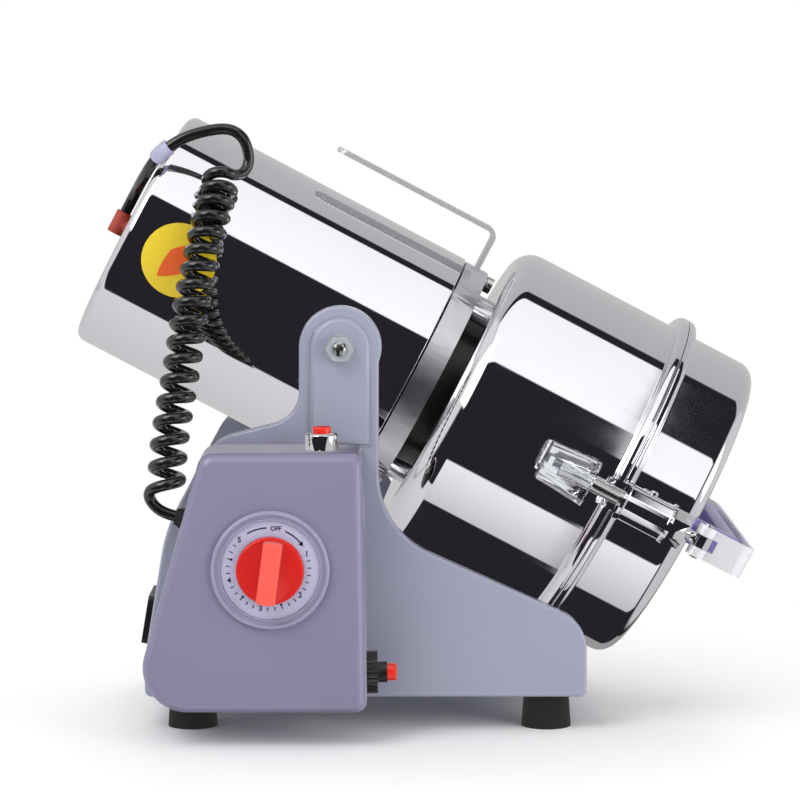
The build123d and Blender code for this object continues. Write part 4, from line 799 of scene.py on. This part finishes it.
@dataclass
class CurlyCord:
    """The curled supply cord: bushing on the box, hanging coil, loop over the motor, boot on its end.

    Its routes are places right of, in front of and above the pivot, in millimetres.
    """

    diameter_mm: float = 6.8
    curl_mm: float = 8.2
    turns: float = 17.5
    start_deg: float = -90.0
    loosen: float = 0.2
    points_a_turn: int = 12
    wrap_length_mm: float = 11.0
    wrap_wall_mm: float = 1.6
    wrap_points: int = 15
    line_steps: int = 24
    cord_steps: int = 6
    wrap_steps: int = 3
    round_steps: int = 4
    sharp_deg: float = 60.0
    # Middle of the coil, from its top to its bottom
    coil_route: tuple = ((-70.5, 71.0, 101.0), (-73.0, 78.5, 88.5), (-76.5, 86.0, 76.0), (-82.0, 94.0, 51.0),
                         (-88.0, 99.0, 22.0), (-93.0, 105.0, -12.0), (-97.5, 110.0, -37.0),
                         (-101.0, 115.0, -63.0), (-101.5, 117.0, -82.0))
    # From the coil's top up and over to the boot
    loop_route: tuple = ((-58.0, 70.0, 101.8), (-54.5, 66.5, 107.5), (-55.0, 66.5, 115.5),
                         (-58.0, 67.5, 124.0), (-66.5, 67.5, 129.0), (-80.0, 67.5, 127.5),
                         (-94.5, 69.5, 123.0), (-108.5, 69.0, 113.5), (-119.0, 52.0, 98.5))
    # From the bushing to the coil's bottom
    tail_route: tuple = ((-96.3, 118.0, -97.0), (-102.9, 118.0, -95.2), (-109.0, 116.5, -91.0),
                         (-112.0, 117.0, -85.5), (-110.5, 121.0, -81.0))
    # Points of the curls left off at the top and at the bottom, where the routes join them
    left_off: tuple[int, int] = (1, 2)
    boot_along_mm: float = -152.4
    boot_lift_mm: float = 7.0
    boot_front_mm: float = 30.0
    last_run_mm: float = 13.0
    # Line across the cord, between its stretch by the base and its stretch by the body
    swing_line: tuple = ((0.0, 117.0, -82.0), (0.0, -2.3, -52.2))

    def tube(self, name: str, points: np.ndarray, resolution: int, radius_mm: float = 0.0) -> bpy.types.Mesh:
        """Mesh of the tube round a smooth NURBS line.

        Args:
            name: name of the curve.
            points: control points in metres.
            resolution: steps between control points.
            radius_mm: the tube's radius; 0 gives the bare line.

        Returns:
            The mesh.
        """
        curve = bpy.data.curves.new(name, "CURVE")
        curve.dimensions = "3D"
        curve.resolution_u = resolution
        line = curve.splines.new("NURBS")
        line.points.add(len(points) - 1)
        line.points.foreach_set("co", np.column_stack([points, np.ones(len(points))]).ravel())
        line.order_u = 3
        line.use_endpoint_u = True
        curve.bevel_depth = radius_mm * MM
        curve.bevel_resolution = self.round_steps
        curve.use_fill_caps = True
        holder = bpy.data.objects.new(name, curve)
        mesh = bpy.data.meshes.new_from_object(holder)
        bpy.data.objects.remove(holder)
        return mesh

    def line(self, name: str, points: np.ndarray, resolution: int) -> np.ndarray:
        """Points along a smooth NURBS line.

        Args:
            name: name of the curve.
            points: control points in metres.
            resolution: steps between control points.

        Returns:
            The line's points in order, in metres.
        """
        mesh = self.tube(name, points, resolution)
        spots = vertices(mesh)
        bpy.data.meshes.remove(mesh)
        return spots

    def helix(self) -> np.ndarray:
        """Control points of the curls: a circle carried down the coil's line, looser towards the bottom.

        Returns:
            Points in metres from the top of the coil to its bottom.
        """
        line = self.line("coil_line", BODY.hung(self.coil_route), self.line_steps)
        turn = np.linspace(0, self.turns, int(self.turns * self.points_a_turn) + 1)
        share = turn / self.turns
        share = share * (1 - self.loosen) + self.loosen * share ** 2
        centre = spots_on(line, share * runs_of(line)[-1])
        way = np.gradient(centre, axis=0)
        way /= np.linalg.norm(way, axis=1)[:, None]
        out = BODY.front - way * (way @ BODY.front)[:, None]
        out /= np.linalg.norm(out, axis=1)[:, None]
        side = np.cross(way, out)
        angle = (2 * math.pi * turn + math.radians(self.start_deg))[:, None]
        reach = self.curl_mm * MM / math.cos(math.pi / self.points_a_turn)
        return centre + reach * (out * np.cos(angle) + side * np.sin(angle))

    def build(self) -> None:
        """Make the cord and the sleeve on it, with their places baked into their meshes."""
        mouth = BODY.place(self.boot_along_mm, self.boot_lift_mm, self.boot_front_mm)
        before = BODY.place(self.boot_along_mm, self.boot_lift_mm + self.last_run_mm, self.boot_front_mm)
        curls = self.helix()[self.left_off[0]:-self.left_off[1]]
        route = np.concatenate([BODY.hung(self.tail_route), curls[::-1], BODY.hung(self.loop_route),
                                before[None], mouth[None]])
        path = self.line("cord_line", route, self.cord_steps)
        tube = self.tube("cord_tube", route, self.cord_steps, self.diameter_mm / 2)
        tidy(tube, self.sharp_deg)
        cord = link("curly_cord_black", tube, Finishes.CORD_BLACK)
        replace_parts(cord, "curly_cord", "cord_loop")
        wrap = self.wrap(path)
        for piece in (cord, wrap):
            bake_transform(piece)

    def wrap(self, path: np.ndarray) -> bpy.types.Object:
        """The lilac sleeve: a short wall round the stretch of cord nearest to its CAD place.

        Args:
            path: points of the cord's line.

        Returns:
            The sleeve.
        """
        low, high = (np.array(corner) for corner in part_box("cord_wrap"))
        middle = int(np.argmin(np.linalg.norm(path - (low + high) / 2, axis=1)))
        stretch = np.linspace(-0.5, 0.5, self.wrap_points) * self.wrap_length_mm * MM + runs_of(path)[middle]
        radius = self.diameter_mm / 2 + self.wrap_wall_mm
        mesh = self.tube("wrap_tube", spots_on(path, stretch), self.wrap_steps, radius)
        tidy(mesh, self.sharp_deg)
        piece = link("lilac_sleeve_on_cord", mesh, Finishes.WRAP_LILAC)
        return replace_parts(piece, "cord_wrap")


@dataclass
class Grinder:
    """Motor, collar, bowl and lid: the swinging body and what turns in it."""

    motor_rear_mm: float = -146.0
    motor_front_mm: float = 45.0
    motor_radius_mm: float = 77.0
    motor_lip_mm: float = 62.0
    motor_corner_mm: float = 6.0
    motor_wall_mm: float = 1.5
    motor_edge_mm: float = 0.4
    motor_lip_edge_mm: float = 0.5
    bowl_bottom_mm: float = 71.5
    bowl_rim_mm: float = 184.7
    bowl_radius_mm: float = 100.0
    bowl_corner_mm: float = 15.0
    bowl_hole_mm: float = 7.3
    bowl_mouth_edge_mm: float = 0.8
    flange_radius_mm: float = 108.0
    flange_mm: float = 6.2
    flange_edge_mm: float = 4.4
    flange_root_mm: float = 0.8
    flange_seat_edge_mm: float = 0.6
    lid_seat_mm: float = 185.0
    lid_end_mm: float = 236.0
    lid_corner_mm: float = 10.0
    lid_flange_mm: float = 6.0
    groove_outer_mm: float = 105.0
    groove_inner_mm: float = 100.0
    groove_depth_mm: float = 2.5
    wall_mm: float = 2.0
    round_steps: int = 40
    turn_steps: int = 288
    sticker_along_mm: float = -108.5
    sticker_deg: float = 0.0
    sticker_radius_mm: float = 22.5
    sticker_proud_mm: float = 0.12
    lozenge_mm: tuple[float, float] = (8.0, 16.0)
    lozenge_power: float = 1.6
    lozenge_lean_deg: float = 28.0
    lozenge_proud_mm: float = 0.2
    print_steps: int = 96
    print_rings: int = 5
    knob_sharp_deg: float = 40.0

    def shell(self, name: str, profile: np.ndarray, node: str, body: str) -> None:
        """One polished shell in place of a CAD node: a profile turned about the body's axis.

        Args:
            name: the piece's name.
            profile: points as radius and place along the axis, in millimetres.
            node: the CAD node that it replaces.
            body: the body that it rides on.
        """
        spindle = Spindle(BODY.pivot, BODY.along, BODY.lift)
        piece = spindle.turn(name, profile, Finishes.STEEL_SHEET, self.turn_steps)
        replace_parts(piece, node)
        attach(piece, body)

    def motor(self) -> None:
        """The motor's can: a thin wall with a rounded corner and a lip at its rear end."""
        rear, front = self.motor_rear_mm, self.motor_front_mm
        radius, lip = self.motor_radius_mm, self.motor_lip_mm
        wall, corner = self.motor_wall_mm, self.motor_corner_mm
        can = rounded(
            [(radius - wall, front), (radius, front), (radius, rear), (lip, rear), (lip, rear + wall),
             (radius - wall, rear + wall), (radius - wall, front)],
            [0, self.motor_edge_mm, corner, self.motor_lip_edge_mm, 0, corner - wall, 0], self.round_steps)
        self.shell("motor_can", can, "motor_housing", "grinder")

    def bowl(self) -> None:
        """The bowl: a pot with a rounded bottom, a hole for the shaft and a flange at its rim."""
        bottom, rim, wall = self.bowl_bottom_mm, self.bowl_rim_mm, self.wall_mm
        hole, outer, flange = self.bowl_hole_mm, self.bowl_radius_mm, self.flange_radius_mm
        under = rim - self.flange_mm
        pot = rounded(
            [(hole, bottom), (outer, bottom), (outer, under), (flange, under), (flange, rim),
             (outer - wall, rim), (outer - wall, bottom + wall), (hole, bottom + wall), (hole, bottom)],
            [0, self.bowl_corner_mm, self.flange_root_mm, self.flange_edge_mm, self.flange_seat_edge_mm,
             self.bowl_mouth_edge_mm, self.bowl_corner_mm - wall, 0, 0], self.round_steps)
        self.shell("grinding_bowl", pot, "bowl", "grinder")

    def lid(self) -> None:
        """The lid: a shallow cap with a rounded end, a flange and a groove for its gasket."""
        seat, end, outer, wall = self.lid_seat_mm, self.lid_end_mm, self.bowl_radius_mm, self.wall_mm
        flange, over, groove = self.flange_radius_mm, seat + self.lid_flange_mm, seat + self.groove_depth_mm
        cap = rounded(
            [(0, end), (outer, end), (outer, over), (flange, over), (flange, seat),
             (self.groove_outer_mm, seat), (self.groove_outer_mm, groove),
             (self.groove_inner_mm, groove), (self.groove_inner_mm, seat),
             (outer - wall, seat), (outer - wall, end - wall), (0, end - wall)],
            [0, self.lid_corner_mm, self.flange_root_mm, self.flange_edge_mm, self.flange_seat_edge_mm,
             0, 0, 0, 0, 0, self.lid_corner_mm - wall, 0], self.round_steps)
        self.shell("lid_shell", cap, "lid", "lid")

    def patch(self, name: str, outline: np.ndarray, proud_mm: float, finish: Finishes) -> bpy.types.Object:
        """A thin print laid on the motor's can.

        The outline is shrunk to its middle in rings, and each point goes round the can by its height over
        the radius.

        Args:
            name: the piece's name.
            outline: points along and up from the print's middle, in millimetres.
            proud_mm: how far its face stands off the can.
            finish: its finish.

        Returns:
            The print.
        """
        middle = outline.mean(axis=0)
        share = np.append(np.linspace(0, 1, self.print_rings), 1.0)[:, None, None]
        flat = middle + share * (outline - middle)
        height = np.append(np.full(self.print_rings, proud_mm), 0.0)[:, None]
        radius = self.motor_radius_mm + height
        angle = math.radians(self.sticker_deg) + flat[..., 1] / self.motor_radius_mm
        points = BODY.place(self.sticker_along_mm + flat[..., 0], radius * np.sin(angle),
                            radius * np.cos(angle))
        piece = surface(name, points, finish)
        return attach(piece, "grinder")

    def sticker(self) -> None:
        """Round yellow print with a plain orange lozenge: half sizes times a power of cosine and sine."""
        angle = np.linspace(0, 2 * math.pi, self.print_steps, endpoint=False)
        disc = self.sticker_radius_mm * np.stack([np.cos(angle), np.sin(angle)], axis=1)
        self.patch("round_yellow_print", disc, self.sticker_proud_mm, Finishes.STICKER_YELLOW)
        lean = math.radians(self.lozenge_lean_deg)
        across, tall = (size * np.sign(wave) * np.abs(wave) ** self.lozenge_power
                        for size, wave in zip(self.lozenge_mm, (np.cos(angle), np.sin(angle))))
        lozenge = np.stack([across * math.cos(lean) + tall * math.sin(lean),
                            tall * math.cos(lean) - across * math.sin(lean)], axis=1)
        self.patch("orange_lozenge_print", lozenge, self.lozenge_proud_mm, Finishes.STICKER_ORANGE)

    def build(self) -> None:
        """Dress the whole swinging body."""
        self.motor()
        self.bowl()
        self.lid()
        self.sticker()
        for node, finish in {
            "end_cover": Finishes.BLACK_PLASTIC, "end_bell": Finishes.ALLOY,
            "dust_sleeve": Finishes.BLACK_PLASTIC, "tilt_handle": Finishes.STEEL_SATIN,
            "handle_bolt": Finishes.STEEL_TURNED, "bowl_screws": Finishes.STEEL_TURNED,
            "clamp_barrel": Finishes.STEEL_SHEET, "barrel_screw": Finishes.STEEL_TURNED,
            "trunnions": Finishes.ALLOY, "cord_grommet": Finishes.BOOT_RED,
            "shaft_seal": Finishes.FOOT_RUBBER, "stator_core": Finishes.LAMINATION,
            "field_coils": Finishes.COPPER, "bearings": Finishes.STEEL_TURNED,
            "brush_holders": Finishes.BLACK_PLASTIC, "carbon_brushes": Finishes.CARBON,
        }.items():
            smooth_copy(node, finish, "grinder")
        for node, finish in {
            "motor_shaft": Finishes.STEEL_TURNED, "armature_core": Finishes.LAMINATION,
            "armature_windings": Finishes.COPPER, "commutator": Finishes.COPPER,
            "cooling_fan": Finishes.ALLOY, "blade_spacers": Finishes.STEEL_TURNED,
            "lower_blade": Finishes.BLADE, "middle_blade": Finishes.BLADE, "upper_blade": Finishes.BLADE,
            "blade_nut": Finishes.STEEL_TURNED,
        }.items():
            smooth_copy(node, finish, "rotor")
        for node, finish in {
            "lid_gasket": Finishes.FOOT_RUBBER, "lid_strap": Finishes.STRAP,
            "lid_handle": Finishes.GRIP_VIOLET, "hinge_pin": Finishes.STEEL_TURNED,
        }.items():
            smooth_copy(node, finish, "lid")
        smooth_copy("hinge_eye", Finishes.CHROME, "clamp_post")
        smooth_copy("clamp_rod", Finishes.STEEL_TURNED, "clamp_screw")
        smooth_copy("clamp_knob", Finishes.CLEAR, "clamp_screw", self.knob_sharp_deg)


@dataclass
class Dial:
    """The timer's face: ring, printed disc, marks and red knob. Clock angles run from the top, clockwise."""

    centre_right_mm: float = -39.7
    centre_above_mm: float = -124.8
    face_front_mm: float = 146.5
    box_front_mm: float = 145.0
    # The ring's section as radius and height off the box, and the radius of each of its corners
    ring_mm: tuple = ((34.4, 0), (34.4, 4.0), (32.3, 4.0), (31.6, 2.2), (30.4, 2.2), (29.8, 3.2),
                      (28.95, 3.2), (28.95, 0), (34.4, 0))
    ring_rounds_mm: tuple = (0, 1.2, 0.6, 0.5, 0.5, 0.5, 0.4, 0, 0)
    ring_hold_mm: float = 0.1
    print_shift_mm: tuple[float, float] = (-0.9, 0.8)
    ink_mm: float = 0.12
    numbers: int = 5
    number_mm: float = 23.8
    number_size_mm: float = 4.6
    letter_swell_mm: float = 0.09
    first_deg: float = 68.5
    step_deg: float = 61.6
    off_deg: float = 10.5
    off_size_mm: float = 3.6
    ticks_a_step: int = 6
    tick_mm: float = 23.7
    tick_length_mm: float = 2.1
    tick_width_mm: float = 0.55
    dot_places: tuple[float, ...] = (1.5, 2.5, 3.5)
    dot_mm: float = 22.2
    dot_radius_mm: float = 0.75
    dot_steps: int = 20
    arc_mm: tuple[float, float] = (23.5, 24.3)
    arc_left_deg: tuple[float, float] = (-31, -3)
    arc_right_deg: tuple[float, float] = (24, 53)
    arc_steps: int = 24
    # Clock angle and radius of the arrow head's corners
    arrow_corners: tuple = ((50.5, 22.3), (50.5, 25.5), (57.0, 23.9))

    def face_points(self, right: Any, up: Any, proud: Any) -> np.ndarray:
        """Row-frame points of places on the disc.

        Args:
            right: millimetres right of the print's middle.
            up: millimetres above it.
            proud: millimetres off the disc's face.

        Returns:
            Points in metres, with the inputs' broadcast shape and 3.
        """
        right, up, proud = np.broadcast_arrays(right, up, proud)
        shift = self.print_shift_mm
        spots = np.stack([self.centre_right_mm + shift[0] + right, self.face_front_mm + proud,
                          self.centre_above_mm + shift[1] + up], axis=-1)
        return BODY.hung(spots)

    def band(self, name: str, span_deg: tuple[float, float]) -> bpy.types.Object:
        """An inked band of the disc: a thin box section carried round between two clock angles.

        Args:
            name: the piece's name.
            span_deg: the clock angles of its ends.

        Returns:
            The band.
        """
        inner, outer = self.arc_mm
        angle = np.radians(np.linspace(*span_deg, self.arc_steps))
        radius = np.array([inner, inner, outer, outer])[:, None]
        proud = np.array([0.0, self.ink_mm, self.ink_mm, 0.0])[:, None]
        points = self.face_points(radius * np.sin(angle), radius * np.cos(angle), proud)
        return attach(surface(name, points, Finishes.INK, close_rows=True, close_cols=False), "base")

    def ticks(self) -> None:
        """Short radial marks at every part of a step: a box each, left out where a number stands."""
        mark = np.arange(1, (self.numbers - 1) * self.ticks_a_step)
        mark = mark[mark % self.ticks_a_step != 0]
        angle = np.radians(self.first_deg + mark * self.step_deg / self.ticks_a_step)
        box = np.array([(a, b, c) for c in (0, 1) for b in (-1, 1) for a in (-1, 1)], float)
        radial = self.tick_mm + box[:, 1] * self.tick_length_mm / 2
        across = box[:, 0] * self.tick_width_mm / 2
        sine, cosine = np.sin(angle)[:, None], np.cos(angle)[:, None]
        points = self.face_points(radial * sine + across * cosine, radial * cosine - across * sine,
                                  box[:, 2] * self.ink_mm)
        faces = np.array([(0, 1, 3, 2), (4, 6, 7, 5), (0, 4, 5, 1), (1, 5, 7, 3), (3, 7, 6, 2), (2, 6, 4, 0)])
        faces = (faces[None] + len(box) * np.arange(len(mark))[:, None, None]).reshape(-1, 4)
        mesh = bpy.data.meshes.new("dial_ticks")
        mesh.from_pydata(points.reshape(-1, 3).tolist(), [], faces.tolist())
        tidy(mesh, SHARP_DEG)
        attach(link("dial_ticks", mesh, Finishes.INK), "base")

    def dots(self) -> None:
        """Round inked dots halfway between two numbers, each a low turned disc."""
        profile = np.array([(0, self.ink_mm), (self.dot_radius_mm, self.ink_mm), (self.dot_radius_mm, 0.0)])
        for place in self.dot_places:
            angle = math.radians(self.first_deg + place * self.step_deg)
            middle = self.face_points(self.dot_mm * math.sin(angle), self.dot_mm * math.cos(angle), 0.0)
            spindle = Spindle(middle, BODY.front, RIGHT)
            dot = spindle.turn(f"dial_dot_{int(place * 10)}", profile, Finishes.INK, self.dot_steps)
            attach(dot, "base")

    def word(self, text: str, clock_deg: float, size_mm: float) -> None:
        """Inked letters on the disc, upright, at a clock angle.

        Args:
            text: the letters.
            clock_deg: where their middle stands.
            size_mm: the size of the type.
        """
        data = bpy.data.curves.new("word_" + text, "FONT")
        data.body = text
        data.size = size_mm
        data.align_x = "CENTER"
        data.align_y = "CENTER"
        data.extrude = self.ink_mm / 2
        data.offset = self.letter_swell_mm
        holder = bpy.data.objects.new("word_" + text, data)
        mesh = bpy.data.meshes.new_from_object(holder)
        bpy.data.objects.remove(holder)
        spots = vertices(mesh)
        angle = math.radians(clock_deg)
        placed = self.face_points(spots[:, 0] + self.number_mm * math.sin(angle),
                                  spots[:, 1] + self.number_mm * math.cos(angle),
                                  spots[:, 2] + self.ink_mm / 2)
        mesh.vertices.foreach_set("co", placed.ravel())
        tidy(mesh, SHARP_DEG)
        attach(link("dial_word_" + text, mesh, Finishes.INK), "base")

    def arrow(self) -> None:
        """The right arc's arrow head: a thin triangle, filled from its middle."""
        clock, radius = np.array(self.arrow_corners).T
        angle = np.radians(clock)
        height = np.array([0.0, self.ink_mm])[:, None]
        points = self.face_points(radius * np.sin(angle), radius * np.cos(angle), height)
        top = np.repeat(points[1].mean(axis=0)[None, None], len(radius), axis=1)
        head = surface("dial_arrow_head", np.concatenate([points, top]), Finishes.INK)
        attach(head, "base")

    def ring(self) -> None:
        """The moulded ring: its section turned about the timer's axis."""
        middle = BODY.hung((self.centre_right_mm, self.box_front_mm, self.centre_above_mm))
        spindle = Spindle(middle, BODY.front, RIGHT, self.ring_hold_mm)
        bezel = spindle.turn("timer_bezel_ring", rounded(self.ring_mm, self.ring_rounds_mm), Finishes.BEZEL)
        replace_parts(bezel, "timer_bezel")
        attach(bezel, "base")

    def build(self) -> None:
        """Dress the timer and print its disc."""
        self.ring()
        smooth_copy("timer_dial", Finishes.DIAL, "base")
        smooth_copy("timer_body", Finishes.BLACK_PLASTIC, "base")
        smooth_copy("timer_knob", Finishes.KNOB_RED, "timer_knob")
        self.ticks()
        self.dots()
        for number in range(self.numbers):
            self.word(str(number + 1), self.first_deg + number * self.step_deg, self.number_size_mm)
        self.word("OFF", self.off_deg, self.off_size_mm)
        self.band("dial_arc_left", self.arc_left_deg)
        self.band("dial_arc_right", self.arc_right_deg)
        self.arrow()


@dataclass
class Base:
    """Cheeks, plates, feet, box, buttons and pivots, none of which the polished steel mirrors."""

    mirrored: bool = False

    def build(self) -> None:
        """Dress the base and its controls."""
        for node, finish in {
            "front_cheek": Finishes.BASE_PAINT, "rear_cheek": Finishes.BASE_PAINT,
            "base_plate": Finishes.BASE_PAINT, "end_plate": Finishes.BASE_PAINT,
            "feet": Finishes.FOOT_RUBBER, "foot_screws": Finishes.STEEL_TURNED,
            "control_box": Finishes.BOX_PAINT, "overload_body": Finishes.BLACK_PLASTIC,
            "overload_nut": Finishes.BLACK_PLASTIC, "button_bezel": Finishes.CHROME,
            "power_inlet": Finishes.BLACK_PLASTIC, "cord_bushing": Finishes.FOOT_RUBBER,
            "pivot_bolts": Finishes.STEEL_TURNED, "pivot_nuts": Finishes.ZINC, "pivot_washers": Finishes.ZINC,
        }.items():
            smooth_copy(node, finish, "base").visible_glossy = self.mirrored
        for button in ("power_button", "reset_button"):
            smooth_copy(button, Finishes.BUTTON_RED, button).visible_glossy = self.mirrored


def main() -> None:
    """Build the studio, then dress the grinder piece by piece."""
    logging.basicConfig(level=logging.INFO)
    Studio().build()
    for assembly in (CurlyCord(), Base(), Dial(), Grinder()):
        assembly.build()
        LOG.info("dressed %s", type(assembly).__name__)


if __name__ == "__main__":
    main()
